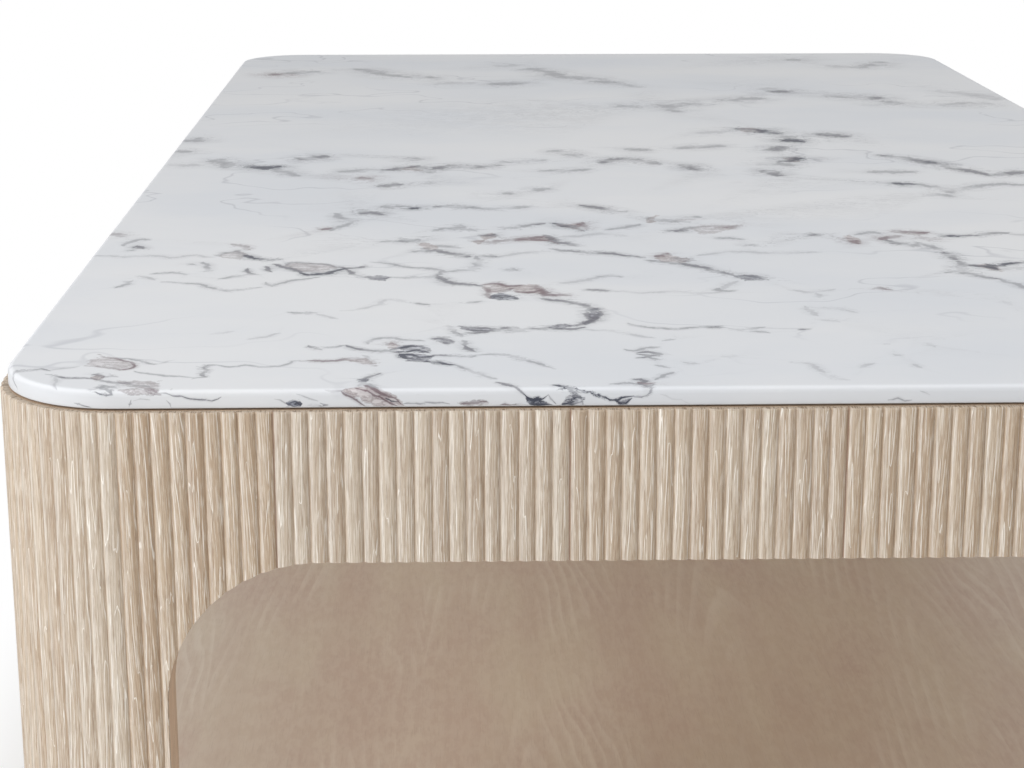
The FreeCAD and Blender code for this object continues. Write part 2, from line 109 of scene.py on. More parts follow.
class Wiring:
    """Adds nodes to one network and joins them."""

    def __init__(self, tree):
        self.tree = tree

    def add(self, kind, inputs=None, **settings):
        node = self.tree.nodes.new(kind)
        for name, value in settings.items():
            setattr(node, name, value)
        for key, value in (inputs or {}).items():
            self.feed(node.inputs[key], value)
        return node

    def feed(self, socket, value):
        if isinstance(value, bpy.types.NodeSocket):
            self.tree.links.new(value, socket)
        else:
            socket.default_value = value

    def maths(self, operation, first, second=0.0, clamped=False):
        node = self.add("ShaderNodeMath", {0: first, 1: second}, operation=operation)
        node.use_clamp = clamped
        return node.outputs[0]

    def times(self, first, second, clamped=False):
        return self.maths("MULTIPLY", first, second, clamped)

    def plus(self, first, second, clamped=False):
        return self.maths("ADD", first, second, clamped)

    def minus(self, first, second):
        return self.maths("SUBTRACT", first, second)

    def over(self, first, second):
        return self.maths("DIVIDE", first, second)

    def larger(self, first, second):
        return self.maths("MAXIMUM", first, second)

    def slant(self, across, along):
        """The length of a way that goes so far across and so far along."""
        return self.maths("SQRT", self.plus(self.times(across, across), self.times(along, along)))

    def stretched(self, vector, factors):
        node = self.add("ShaderNodeVectorMath", {0: vector, 1: factors}, operation="MULTIPLY")
        return node.outputs[0]

    def moved(self, vector, offset):
        return self.add("ShaderNodeVectorMath", {0: vector, 1: offset}, operation="ADD").outputs[0]

    def combined(self, x, y, z):
        return self.add("ShaderNodeCombineXYZ", {0: x, 1: y, 2: z}).outputs[0]

    def split(self, vector):
        return self.add("ShaderNodeSeparateXYZ", {0: vector}).outputs

    def noise(self, vector, scale=1.0, detail=2.0, roughness=0.5):
        inputs = {"Vector": vector, "Scale": scale, "Detail": detail, "Roughness": roughness}
        return self.add("ShaderNodeTexNoise", inputs).outputs[0]

    def between(self, value, low, high, start=0.0, end=1.0):
        """The value as it goes from low to high, eased, as a number from start to end."""
        inputs = {"Value": value, "From Min": low, "From Max": high, "To Min": start, "To Max": end}
        return self.add("ShaderNodeMapRange", inputs, interpolation_type="SMOOTHSTEP").outputs[0]

    def mix(self, share, first, second, way="MIX"):
        node = self.add("ShaderNodeMix", data_type="RGBA", blend_type=way)
        for key, value in zip((0, 6, 7), (share, first, second)):
            self.feed(node.inputs[key], value)
        return node.outputs[2]

    def tint(self, base, colour, amount, share):
        """A colour with a second one laid over it, where the amount is high and as far as the share."""
        return self.mix(self.times(amount, share), base, colour)

    def bump(self, height, strength, distance):
        inputs = {"Height": height, "Strength": strength, "Distance": distance}
        return self.add("ShaderNodeBump", inputs).outputs[0]

    def attribute(self, name):
        return self.add("ShaderNodeAttribute", attribute_name=name)

    def place(self):
        """The point of the piece that is coloured, in metres from the origin of the table."""
        return self.add("ShaderNodeTexCoord").outputs["Object"]

    def use(self, group, inputs):
        node = self.add("ShaderNodeGroup", node_tree=group)
        for key, value in inputs.items():
            self.feed(node.inputs[key], value)
        return node.outputs


def new_group(name, inputs, outputs):
    """A shader node group with named sockets: the group, its wiring, its inside inputs and outputs."""
    group = bpy.data.node_groups.new(name, "ShaderNodeTree")
    for socket_name, kind, value in inputs:
        socket = group.interface.new_socket(socket_name, in_out="INPUT", socket_type=kind)
        if value is not None:
            socket.default_value = value
    for socket_name, kind in outputs:
        group.interface.new_socket(socket_name, in_out="OUTPUT", socket_type=kind)
    wiring = Wiring(group)
    return group, wiring, wiring.add("NodeGroupInput").outputs, wiring.add("NodeGroupOutput").inputs


def new_material(name):
    """An empty material: its wiring and its Principled shader."""
    material = bpy.data.materials.new(name)
    material.use_nodes = True
    material.node_tree.nodes.clear()
    wiring = Wiring(material.node_tree)
    shader = wiring.add("ShaderNodeBsdfPrincipled")
    wiring.add("ShaderNodeOutputMaterial", {"Surface": shader.outputs[0]})
    return material, wiring, shader


def feed_shader(wiring, shader, colour, roughness, normal, specular):
    """Joins a finish to its Principled shader."""
    wiring.feed(shader.inputs["Base Color"], colour)
    wiring.feed(shader.inputs["Roughness"], roughness)
    wiring.feed(shader.inputs["Normal"], normal)
    shader.inputs["Specular IOR Level"].default_value = specular


def tell(thing, tree):
    """Prints how many nodes a group or a material took."""
    print(thing.name, "has", len(tree.nodes), "nodes")


print("white is", rgb(255, 255, 255), "and middle grey", round(rgb(128, 128, 128)[0], 3))

# %% [markdown]
# Every wooden piece here shows the same things along its grain, whatever its timber, so one group
# holds them: broad bands, fine streaks, open pores, and white lime that was rubbed into some pores.
# It looks at a place along the board: X across the grain, Y into it and Z along it. The streaks are
# noise that is stretched along Z, and a slow noise makes them wander, as they do round a cathedral.

# %% Group: the grain of a board
VECTOR, FLOAT = "NodeSocketVector", "NodeSocketFloat"

wood_grain, w, given, result = new_group(
    "wood_grain",
    [("Place", VECTOR, None), ("Wander", FLOAT, 0.002), ("Fineness", FLOAT, 1.0)],
    [("Bands", FLOAT), ("Streaks", FLOAT), ("Pores", FLOAT), ("Lime", FLOAT)])
slow = w.noise(w.stretched(given["Place"], (22, 22, 7)), detail=1.0)
shift = w.times(w.minus(slow, 0.5), given["Wander"])
bent = w.moved(given["Place"], w.combined(shift, 0.0, 0.0))
scaled = w.add("ShaderNodeVectorMath", {0: bent, "Scale": given["Fineness"]}, operation="SCALE").outputs[0]
bands = w.noise(w.stretched(scaled, (90, 90, 4)), detail=2.0)
streaks = w.noise(w.stretched(scaled, (620, 620, 12)), detail=3.0, roughness=0.7)
pore_place = w.stretched(w.moved(scaled, (0.31, 0.2, 0.7)), (1250, 1250, 42))
pore_field = w.noise(pore_place, detail=2.0)
lime_place = w.stretched(w.moved(scaled, (0.83, 0.5, 0.1)), (900, 900, 24))
lime_field = w.noise(lime_place, detail=3.0, roughness=0.6)
w.feed(result["Bands"], w.between(bands, 0.3, 0.7))
w.feed(result["Streaks"], w.between(streaks, 0.3, 0.7))
w.feed(result["Pores"], w.between(pore_field, 0.42, 0.34))
w.feed(result["Lime"], w.between(lime_field, 0.55, 0.63))
print("sockets of", wood_grain.name, [item.name for item in wood_grain.interface.items_tree])

# %% [markdown]
# A plain-sawn board shows nested arches, because the saw cuts the cone-shaped growth rings of the
# tree at a slant. The group works out how far a point is from the heart of such a cone, board by
# board, and draws a soft line at each ring.

# %% Group: cathedral arches
cathedral, w, given, result = new_group(
    "cathedral_arches",
    [("Place", VECTOR, None), ("Board width", FLOAT, 0.13), ("Ring gap", FLOAT, 0.006)],
    [("Rings", FLOAT), ("Board tone", FLOAT)])
across, _, along = w.split(given["Place"])
board_number = w.maths("FLOOR", w.over(across, given["Board width"]))
chance = w.add("ShaderNodeTexWhiteNoise", {"W": board_number}, noise_dimensions="1D").outputs["Value"]
middle = w.times(w.plus(board_number, 0.5), given["Board width"])
slow = w.noise(w.stretched(given["Place"], (15, 15, 3)), detail=3.0)
drift = w.times(w.minus(slow, 0.5), 0.04)
sideways = w.plus(w.minus(across, middle), drift)
heart = w.plus(w.times(chance, 0.02), 0.008)
reach = w.slant(sideways, heart)
taper = w.times(w.plus(along, w.times(chance, 3.0)), 0.09)
count = w.over(w.plus(reach, taper), given["Ring gap"])
saw = w.maths("FRACT", w.plus(count, w.times(slow, 2.4)))
seen = w.between(w.noise(w.stretched(given["Place"], (11, 11, 4)), detail=2.0), 0.47, 0.62)
soft_line = w.times(w.between(saw, 0.3, 0.85), w.between(saw, 1.0, 0.85))
w.feed(result["Rings"], w.times(soft_line, seen))
w.feed(result["Board tone"], chance)
tell(cathedral, cathedral)

# %% [markdown]
# No finish is perfectly even. This group gives every material the same slow unevenness of tone and
# of gloss, such as hands, dust and the sander leave.

# %% Group: unevenness of a finish
unevenness, w, given, result = new_group(
    "uneven_finish",
    [("Place", VECTOR, None), ("Roughness", FLOAT, 0.5), ("Spread", FLOAT, 0.1)],
    [("Tone", FLOAT), ("Roughness", FLOAT)])
cloud = w.noise(given["Place"], scale=9.0, detail=4.0)
speck = w.noise(given["Place"], scale=160.0, detail=2.0)
blend = w.plus(w.times(cloud, 0.6), w.times(speck, 0.4))
swing = w.times(w.minus(blend, 0.5), given["Spread"])
w.feed(result["Tone"], cloud)
w.feed(result["Roughness"], w.plus(given["Roughness"], swing, clamped=True))
tell(unevenness, unevenness)

# %% [markdown]
# Where the cutter opened a growth ring, the lime stays in it as a thin white line, and such lines meet
# in long narrow V's. They are the contours of a stretched noise. A contour is wide where the noise is
# flat, so its distance is divided by the slope, which leaves lines of one width.

# %% Group: lines of one width
RING_STRETCH = (230, 230, 11)
RING_COUNT = 4.5
STEP_ACROSS = 0.0001
STEP_ALONG = 0.001
LEAST_SLOPE = 1.0

even_lines, w, given, result = new_group(
    "even_lines",
    [("Place", VECTOR, None), ("Half width", FLOAT, 0.00024)],
    [("Lines", FLOAT)])


def ring_height(offset):
    here = w.stretched(w.moved(given["Place"], offset), RING_STRETCH)
    return w.times(w.noise(here, detail=1.0), RING_COUNT)


height = ring_height((0, 0, 0))
slope_across = w.over(w.minus(ring_height((STEP_ACROSS, 0, 0)), height), STEP_ACROSS)
slope_along = w.over(w.minus(ring_height((0, 0, STEP_ALONG)), height), STEP_ALONG)
slope = w.slant(slope_across, slope_along)
off_line = w.maths("ABSOLUTE", w.minus(w.maths("FRACT", height), 0.5))
distance = w.over(off_line, w.larger(slope, LEAST_SLOPE))
w.feed(result["Lines"], w.between(w.over(distance, given["Half width"]), 1.0, 0.4))
tell(even_lines, even_lines)

# %% [markdown]
# The reeds are oak that was brushed until its pores stood open, then washed with white lime. The wash
# stays in the opened rings. Each reed gets a painted highlight on its left side, and painted shade on
# its right side and in the valleys, as a lamp at the left would give.
# Neighbouring reeds differ, because the cutter opened other rings of the board in each, so a random
# tone goes with the number of the reed. About every sixteen reeds a new board starts at a darker seam.

# %% Material: reeded limed oak
FIRST_SEAM = 8.9
REEDS_PER_BOARD = 16.4
BOARD_STEP = 0.37
BOARD_TONE_STEP = 0.17
FIRST_BOARD_TONE = 0.12
LEAN_OF_GRAIN = 0.04

DARK_STREAK, PALE_STREAK = rgb(167, 152, 135), rgb(198, 190, 178)
WARM_BAND = rgb(189, 171, 150)
DULL_REED, BRIGHT_REED = rgb(228, 217, 206), rgb(255, 251, 245)
BROWN_BOARD, GREY_BOARD = rgb(162, 140, 118), rgb(186, 181, 174)
# the two colours here are painted shade for the right side of each reed and a painted highlight for its
# left side
SHADED_SIDE, PAINTED_LEFT_HIGHLIGHT = rgb(178, 147, 112), rgb(234, 234, 232)
FINE_PORE, WIDE_PORE = rgb(122, 100, 80), rgb(134, 111, 90)
LIME_IN_PORES, LIME_IN_RINGS = rgb(234, 229, 220), rgb(240, 237, 230)
# the first colour here is painted shade for the valleys between reeds; the second is the darker seam where
# a board starts
VALLEY_PAINTED_SHADE, SEAM_BROWN = rgb(150, 116, 84), rgb(112, 78, 60)
END_WOOD, END_PORE = rgb(194, 179, 161), rgb(140, 120, 101)


def reeded_oak_material():
    material, w, shader = new_material("reeded_limed_oak")
    place = w.attribute("grain_place").outputs["Vector"]
    counted = w.attribute("reed_count").outputs["Fac"]
    height = w.split(place)[2]
    reed = w.maths("FLOOR", counted)
    across = w.maths("FRACT", counted)
    from_seam = w.minus(reed, FIRST_SEAM)
    board = w.maths("FLOOR", w.over(from_seam, REEDS_PER_BOARD))
    board_before = w.maths("FLOOR", w.over(w.minus(from_seam, 1.0), REEDS_PER_BOARD))
    starts_board = w.minus(board, board_before)
    reed_chance = w.add("ShaderNodeTexWhiteNoise", {"W": reed}, noise_dimensions="1D").outputs["Value"]
    board_tone = w.maths("FRACT", w.plus(w.times(board, BOARD_TONE_STEP), FIRST_BOARD_TONE))
    lean = w.times(w.times(w.minus(board_tone, 0.4), LEAN_OF_GRAIN), height)
    own_place = w.moved(place, w.combined(lean, 0.0, w.times(board, BOARD_STEP)))
    grain = w.use(wood_grain, {"Place": own_place, "Wander": 0.005, "Fineness": 1.5})
    fine = w.use(wood_grain, {"Place": w.moved(own_place, (0.5, 0, 0)), "Wander": 0.005, "Fineness": 2.6})
    cloud = w.use(unevenness, {"Place": w.stretched(place, (1, 1, 0.3)), "Roughness": 0.62, "Spread": 0.25})
    wood = w.mix(grain["Streaks"], DARK_STREAK, PALE_STREAK)
    wood = w.tint(wood, WARM_BAND, grain["Bands"], 0.35)
    tint = w.mix(reed_chance, DULL_REED, BRIGHT_REED)
    wood = w.mix(0.9, wood, tint, way="MULTIPLY")
    wood = w.tint(wood, BROWN_BOARD, board_tone, 0.45)
    wood = w.mix(w.between(board_tone, 0.5, 0.0, 0.0, 0.25), wood, GREY_BOARD)
    # painted shade: the right side of each reed is darkened and warmed, as the side turned from the lamp at
    # the left
    wood = w.mix(w.between(across, 0.25, 0.95, 0.0, 0.24), wood, SHADED_SIDE)
    wood = w.tint(wood, FINE_PORE, fine["Pores"], 0.34)
    wood = w.tint(wood, WIDE_PORE, grain["Pores"], 0.5)
    wood = w.tint(wood, LIME_IN_PORES, fine["Lime"], 0.36)
    wood = w.tint(wood, LIME_IN_PORES, grain["Lime"], 0.30)
    own_rings = w.moved(own_place, w.combined(0.0, 0.0, w.times(reed_chance, 3.0)))
    open_pores = w.between(w.noise(w.stretched(own_place, (500, 500, 60)), detail=2.0), 0.38, 0.54)
    lime_line = w.times(w.use(even_lines, {"Place": own_rings})["Lines"], open_pores)
    on_reed = w.times(w.between(across, 0.03, 0.12), w.between(across, 0.98, 0.90))
    lime_line = w.times(lime_line, on_reed)
    wood = w.tint(wood, LIME_IN_RINGS, lime_line, 0.62)
    # painted highlight: the left side of each reed is lightened, as a lamp at the left would light it
    left_highlight_share = w.times(w.between(across, 0.06, 0.16), w.between(across, 0.32, 0.18))
    wood = w.tint(wood, PAINTED_LEFT_HIGHLIGHT, left_highlight_share, 0.15)
    # painted shade: the valleys between the reeds are darkened and browned
    valley_shade_share = w.larger(w.between(across, 0.10, 0.02), w.between(across, 0.94, 1.0))
    wood = w.tint(wood, VALLEY_PAINTED_SHADE, valley_shade_share, 0.15)
    end_grain = w.between(w.split(w.add("ShaderNodeNewGeometry").outputs["Normal"])[2], 0.6, 0.9)
    dots = w.between(w.noise(place, scale=1300.0, detail=2.0), 0.50, 0.40)
    end_colour = w.mix(dots, END_WOOD, END_PORE)
    wood = w.tint(wood, end_colour, end_grain, 0.9)
    seam = w.times(w.between(across, 0.13, 0.02), starts_board)
    wood = w.tint(wood, SEAM_BROWN, seam, 0.7)
    relief = w.plus(w.minus(grain["Streaks"], grain["Pores"]), fine["Streaks"])
    normal = w.bump(w.plus(relief, lime_line), 0.5, 0.0002)
    feed_shader(w, shader, wood, cloud["Roughness"], normal, 0.3)
    return material


reeded_oak = reeded_oak_material()
tell(reeded_oak, reeded_oak.node_tree)

# %% [markdown]
# The walls and posts behind the reeds are smooth oak with a thinner wash, a little warmer. The hidden
# deck, cleats, bearers and tongues are plywood, softwood and beech. One recipe makes all of them: what
# differs is the way of the grain, the two colours, and how much lime and how many pores show.

# %% Material: smooth oak and plain timber
def timber_material(name, along, light, dark, lime_share=0.0, pore_share=0.5):
    """Wood whose grain runs along X, Y or Z, between a light and a dark colour."""
    material, w, shader = new_material(name)
    x, y, z = w.split(w.place())
    if along == "X":
        place = w.combined(y, z, x)
    elif along == "Y":
        place = w.combined(x, z, y)
    else:
        place = w.combined(w.plus(x, y), w.minus(x, y), z)
    grain = w.use(wood_grain, {"Place": place, "Wander": 0.02, "Fineness": 0.8})
    cloud = w.use(unevenness, {"Place": w.place(), "Roughness": 0.55, "Spread": 0.2})
    wood = w.mix(grain["Streaks"], dark, light)
    wood = w.tint(wood, dark, grain["Bands"], 0.4)
    wood = w.tint(wood, rgb(224, 216, 204), grain["Lime"], lime_share)
    wood = w.tint(wood, rgb(112, 88, 66), grain["Pores"], pore_share)
    feed_shader(w, shader, wood, cloud["Roughness"], w.bump(grain["Streaks"], 0.35, 0.0002), 0.35)
    tell(material, material.node_tree)
    return material


SOFTWOOD = (rgb(222, 198, 158), rgb(196, 162, 116))
smooth_oak = timber_material("smooth_oak", "Z", rgb(214, 190, 165), rgb(190, 162, 136), lime_share=0.2)
softwood_x = timber_material("softwood_along_x", "X", *SOFTWOOD, pore_share=0.1)
softwood_y = timber_material("softwood_along_y", "Y", *SOFTWOOD, pore_share=0.1)
beech = timber_material("beech_upright", "Z", rgb(214, 176, 140), rgb(190, 148, 112), pore_share=0.3)
birch = timber_material("birch_plywood", "Y", rgb(226, 206, 172), rgb(206, 180, 140), pore_share=0.15)

# %% [markdown]
# The shelf is a veneered oak board with its grain along the table. Through the window it shows soft,
# low cathedral arches and slow changes between warm and greyer strips.

# %% Material: the shelf's oak veneer
ROSY_STRIP, SANDY_STRIP = rgb(198, 179, 166), rgb(206, 193, 176)
PALE_FLECK, PALE_GRAIN, PALE_RING = rgb(220, 211, 197), rgb(219, 211, 197), rgb(228, 222, 210)
ROSY_BAND, ROSY_BOARD = rgb(192, 171, 158), rgb(194, 174, 160)
SHELF_PORE = rgb(163, 144, 130)


def shelf_material():
    material, w, shader = new_material("shelf_oak_veneer")
    x, y, z = w.split(w.place())
    place = w.combined(x, z, y)
    arch_place = w.moved(place, (0.02, 0.0, 0.9))
    arches = w.use(cathedral, {"Place": arch_place, "Board width": 0.155, "Ring gap": 0.009})
    grain = w.use(wood_grain, {"Place": place, "Wander": 0.005, "Fineness": 0.5})
    fine = w.use(wood_grain, {"Place": w.moved(place, (0.4, 0, 0)), "Wander": 0.005, "Fineness": 1.0})
    cloud_place = w.stretched(w.place(), (1.6, 0.7, 1))
    cloud = w.use(unevenness, {"Place": cloud_place, "Roughness": 0.5, "Spread": 0.2})
    wood = w.mix(w.between(cloud["Tone"], 0.32, 0.68), ROSY_STRIP, SANDY_STRIP)
    flecks = w.between(w.noise(w.stretched(place, (150, 1, 50)), detail=3.0, roughness=0.7), 0.38, 0.62)
    wood = w.tint(wood, PALE_FLECK, flecks, 0.34)
    wood = w.tint(wood, PALE_GRAIN, grain["Streaks"], 0.18)
    wood = w.tint(wood, PALE_RING, arches["Rings"], 0.36)
    wood = w.tint(wood, ROSY_BAND, grain["Bands"], 0.25)
    wood = w.tint(wood, ROSY_BOARD, arches["Board tone"], 0.15)
    wood = w.tint(wood, SHELF_PORE, fine["Pores"], 0.16)
    feed_shader(w, shader, wood, cloud["Roughness"], w.bump(fine["Streaks"], 0.15, 0.0001), 0.3)
    return material


shelf_oak = shelf_material()
tell(shelf_oak, shelf_oak.node_tree)

# %% [markdown]
# Two small materials are moulded: the hard plastic of the glides and the clear soft pads that hold
# the stone off the deck.

# %% Material: glides and pads
def moulded_material(name, colour, roughness, grain_size):
    material, w, shader = new_material(name)
    cloud = w.use(unevenness, {"Place": w.place(), "Roughness": roughness, "Spread": 0.2})
    skin = w.noise(w.place(), scale=grain_size, detail=2.0)
    dusty = tuple(0.8 * part + 0.1 for part in colour[:3]) + (1.0,)
    worn = w.tint(colour, dusty, cloud["Tone"], 0.4)
    feed_shader(w, shader, worn, cloud["Roughness"], w.bump(skin, 0.2, 0.0001), 0.5)
    tell(material, material.node_tree)
    return material


glide_plastic = moulded_material("glide_plastic", rgb(58, 54, 50), 0.5, 1500.0)
pad_silicone = moulded_material("pad_silicone", rgb(206, 208, 206), 0.35, 600.0)

# %% [markdown]
# The finishes go onto the CAD pieces that keep their own shape: deck, cleats, bearers, tongues,
# corner posts, pads and glides. A cleat's grain runs along its own side.

# %% Finishes of the carried-over pieces
FINISHES = {
    "deck_panel": birch,
    "wall_tongues": beech,
    "floor_glides": glide_plastic,
    "stone_pads": pad_silicone,
}
for part in ("deck", "shelf"):
    for side in ("front", "rear"):
        FINISHES["%s_cleat_%s" % (part, side)] = softwood_x
        FINISHES["%s_bearer_%s" % (part, side)] = softwood_x
    for side in ("left", "right"):
        FINISHES["%s_cleat_%s" % (part, side)] = softwood_y
for corner in ("rear_right", "rear_left", "front_left", "front_right"):
    FINISHES["corner_post_" + corner] = smooth_oak
for node_name, finish in FINISHES.items():
    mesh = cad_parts[node_name].data
    mesh.materials.clear()
    mesh.materials.append(finish)
print(len(FINISHES), "CAD pieces keep their shape")

# %% [markdown]
# The reeded facings and the boards behind them are one kind of thing: a sheet on end with a window
# in it. A Boolean cut through hundreds of reeds would be slow and leave ragged edges, so the sheet is
# built from upright columns. Each column knows its front and back point and its four heights: foot,
# sill and head of the window, and top. Columns beside the window have the same four, but the sheet is
# closed there between sill and head. Columns stand close on the reeds and on the round corners of the
# window, so both come out smooth.

# %% A sheet built from columns
SHARP_ANGLE = math.radians(32)
SILL_RISE = 0.001
REED_TOP_CHAMFER = 0.0007
WALL_TOP_CHAMFER = 0.0002
# a column has five points in front, and five behind: foot, sill, head, start of the chamfer and top
LEVELS = 5
SILL, HEAD, TOP = 1, 2, 4

# front and back points, place along the run, depth behind the crest, count of reeds, four heights,
# and whether the window cuts it
Column = namedtuple("Column", "front back run depth count heights windowed")


def sheet_from_columns(name, columns, material, chamfer, sill_material=None):
    """A closed mesh through the columns, with the place along the grain kept on every corner."""
    mesh = bpy.data.meshes.new(name)
    corners, places, faces, sills = [], [], [], []
    for column in columns:
        through = np.subtract(column.back, column.front)
        edge = tuple(np.array(column.front) + through / np.hypot(*through) * chamfer)
        heights = [*column.heights[:3], column.heights[3] - chamfer, column.heights[3]]
        for height, point in zip(heights, [column.front] * 4 + [edge]):
            corners.append((*point, height))
            places.append((column.run, column.depth, height))
        for height in heights:
            corners.append((*column.back, height))
            places.append((column.run, 0.0, height))

    def corner(column_number, level, at_back=False):
        return column_number * 2 * LEVELS + level + (LEVELS if at_back else 0)

    def across_sheet(k, low, high):
        """An upright face from front to back at one column."""
        return [corner(k, low), corner(k, low, True), corner(k, high, True), corner(k, high)]

    for k in range(len(columns) - 1):
        open_here = columns[k].windowed and columns[k + 1].windowed
        for level in range(LEVELS - 1):
            if open_here and level == SILL:
                continue
            above = level + 1
            face = [corner(k, level), corner(k + 1, level), corner(k + 1, above), corner(k, above)]
            faces.append(face)
            faces.append([number + LEVELS for number in face[::-1]])
        edges = [(0, True), (TOP, False)] + ([(SILL, False), (HEAD, True)] if open_here else [])
        for level, looks_down in edges:
            ring = [corner(k, level), corner(k, level, True)]
            ring += [corner(k + 1, level, True), corner(k + 1, level)]
            if level == SILL and columns[k].heights[SILL] - WINDOW_BOTTOM < SILL_RISE:
                sills.append(len(faces))
            faces.append(ring if looks_down else ring[::-1])
    last = len(columns) - 1
    for level in range(LEVELS - 1):
        faces.append(across_sheet(0, level, level + 1)[::-1])
        faces.append(across_sheet(last, level, level + 1))
    for k in range(1, last):
        starts = columns[k].windowed and not columns[k - 1].windowed
        ends = columns[k].windowed and not columns[k + 1].windowed
        if starts or ends:
            jamb = across_sheet(k, SILL, HEAD)
            faces.append(jamb if starts else jamb[::-1])
    mesh.from_pydata(corners, [], faces)
    grain = mesh.attributes.new("grain_place", "FLOAT_VECTOR", "POINT")
    grain.data.foreach_set("vector", np.array(places, np.float32).ravel())
    counts = mesh.attributes.new("reed_count", "FLOAT", "POINT")
    numbers = np.repeat([column.count for column in columns], 2 * LEVELS)
    counts.data.foreach_set("value", numbers.astype(np.float32))
    mesh.materials.append(material)
    if sill_material:
        mesh.materials.append(sill_material)
        for number in sills:
            mesh.polygons[number].material_index = 1
    mesh.shade_smooth()
    mesh.set_sharp_from_angle(angle=SHARP_ANGLE)
    print(name, "has", len(columns), "columns and", len(faces), "faces")
    return put_in_scene(name, mesh)


# %% [markdown]
# The casing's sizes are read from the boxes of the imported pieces, so that the detailed pieces fit the
# plain ones. A box doesn't tell how a window is cut or how wide a reed is. So the width of the legs, the
# height of the apron over the window, the window's radius and the reeds' pitch stand here by name.

# %% Sizes of the casing
skin_front_low, skin_front_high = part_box("reeded_skin_front")
skin_right_low, skin_right_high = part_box("reeded_skin_right")
wall_front_low, wall_front_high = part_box("wall_panel_front")
shelf_low, shelf_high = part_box("shelf_panel")
CASING_BOTTOM, CASING_TOP = skin_front_low.z, skin_front_high.z
SKIN_THICKNESS = skin_front_high.y - skin_front_low.y
WALL_THICKNESS = wall_front_high.y - wall_front_low.y
END_FLAT = skin_front_high.x - skin_front_low.x
SIDE_FLAT = skin_right_high.y - skin_right_low.y
HALF_WIDTH, HALF_LENGTH = skin_right_high.x, -skin_front_low.y
CORNER_RADIUS = HALF_WIDTH - END_FLAT / 2
REED_PITCH = 0.0085
REED_DEPTH = 0.0017
CORNER_CREST_DROP = 0.0003
LEG_WIDTH = 0.0865
APRON_HEIGHT = 0.0773
WINDOW_RADIUS = 0.077
WINDOW_BOTTOM, WINDOW_TOP = shelf_high.z, CASING_TOP - APRON_HEIGHT
FACING_STEPS = 12
ARC_STEPS = 26
STATION_DIGITS = 7
TOLERANCE = 1e-9
UNCUT_HEIGHTS = [CASING_BOTTOM, WINDOW_BOTTOM + WINDOW_RADIUS, WINDOW_TOP - WINDOW_RADIUS, CASING_TOP]
print("flat ends %.3f m, flat sides %.3f m, corner radius %.3f m" % (END_FLAT, SIDE_FLAT, CORNER_RADIUS))

# side: name, turn about Z in degrees, distance of the outside, flat length, half the window's width
SIDES = [
    ("front", 0, HALF_LENGTH, END_FLAT, HALF_WIDTH - LEG_WIDTH),
    ("right", 90, HALF_WIDTH, SIDE_FLAT, HALF_LENGTH - LEG_WIDTH),
    ("rear", 180, HALF_LENGTH, END_FLAT, HALF_WIDTH - LEG_WIDTH),
    ("left", 270, HALF_WIDTH, SIDE_FLAT, HALF_LENGTH - LEG_WIDTH),
]
# corner that follows each side: name, turn of its first reed, and the signs of its X and Y
CORNERS = [
    ("front_right", 270, 1, -1),
    ("rear_right", 0, 1, 1),
    ("rear_left", 90, -1, 1),
    ("front_left", 180, -1, -1),
]


def turned(x, y, degrees):
    """A point turned about the middle of the table."""
    angle = math.radians(degrees)
    return (x * math.cos(angle) - y * math.sin(angle), x * math.sin(angle) + y * math.cos(angle))


def window_heights(along, half_window):
    """The four heights of a column at that distance from the middle of its side, and if it is cut."""
    inner = half_window - WINDOW_RADIUS
    if abs(along) > half_window + TOLERANCE:
        return UNCUT_HEIGHTS, False
    past = min(max(abs(along) - inner, 0.0), WINDOW_RADIUS)
    drop = WINDOW_RADIUS - math.sqrt(max(WINDOW_RADIUS ** 2 - past ** 2, 0.0))
    return [CASING_BOTTOM, WINDOW_BOTTOM + drop, WINDOW_TOP - drop, CASING_TOP], True


def window_stations(half_window):
    """Distances from the middle of a side where the window's round corners need a column."""
    inner = half_window - WINDOW_RADIUS
    angles = [math.pi / 2 * k / ARC_STEPS for k in range(ARC_STEPS + 1)]
    steps = [inner + WINDOW_RADIUS * math.sin(angle) for angle in angles]
    return steps + [-step for step in steps]


# %% [markdown]
# A reed is a long shallow half-round that was run with a cutter, and wash and brushing left it a
# little uneven: the valleys aren't quite evenly spaced or equally deep. The profile is flat on the
# crest and drops faster near the valley, and it never stands proud of the CAD facing. Round the
# corners the reeds are sanded flatter.

# %% The reed profile
REED_POWER = 2.4
VALLEY_SHIFT = 0.0004
CREST_UNEVENNESS = 0.00015
REED_SEED = 7
dice = random.Random(REED_SEED)


def reed_run(length, crest_drop=0.0):
    """Rows of distance along a run of reeds, depth behind the CAD's crests, and count of reeds."""
    count = round(length / REED_PITCH)
    pitch = length / count
    shifts = [dice.uniform(-1, 1) * VALLEY_SHIFT for _ in range(count - 1)]
    valleys = [k * pitch + shift for k, shift in enumerate([0.0, *shifts, 0.0])]
    stations = []
    for k in range(count):
        crest = crest_drop + dice.uniform(0.0, CREST_UNEVENNESS)
        for step in range(FACING_STEPS):
            share = step / FACING_STEPS
            fall = abs(2 * share - 1) ** REED_POWER
            place = valleys[k] + share * (valleys[k + 1] - valleys[k])
            stations.append((place, crest + (REED_DEPTH - crest) * fall, k + share))
    stations.append((length, REED_DEPTH, count))
    return stations


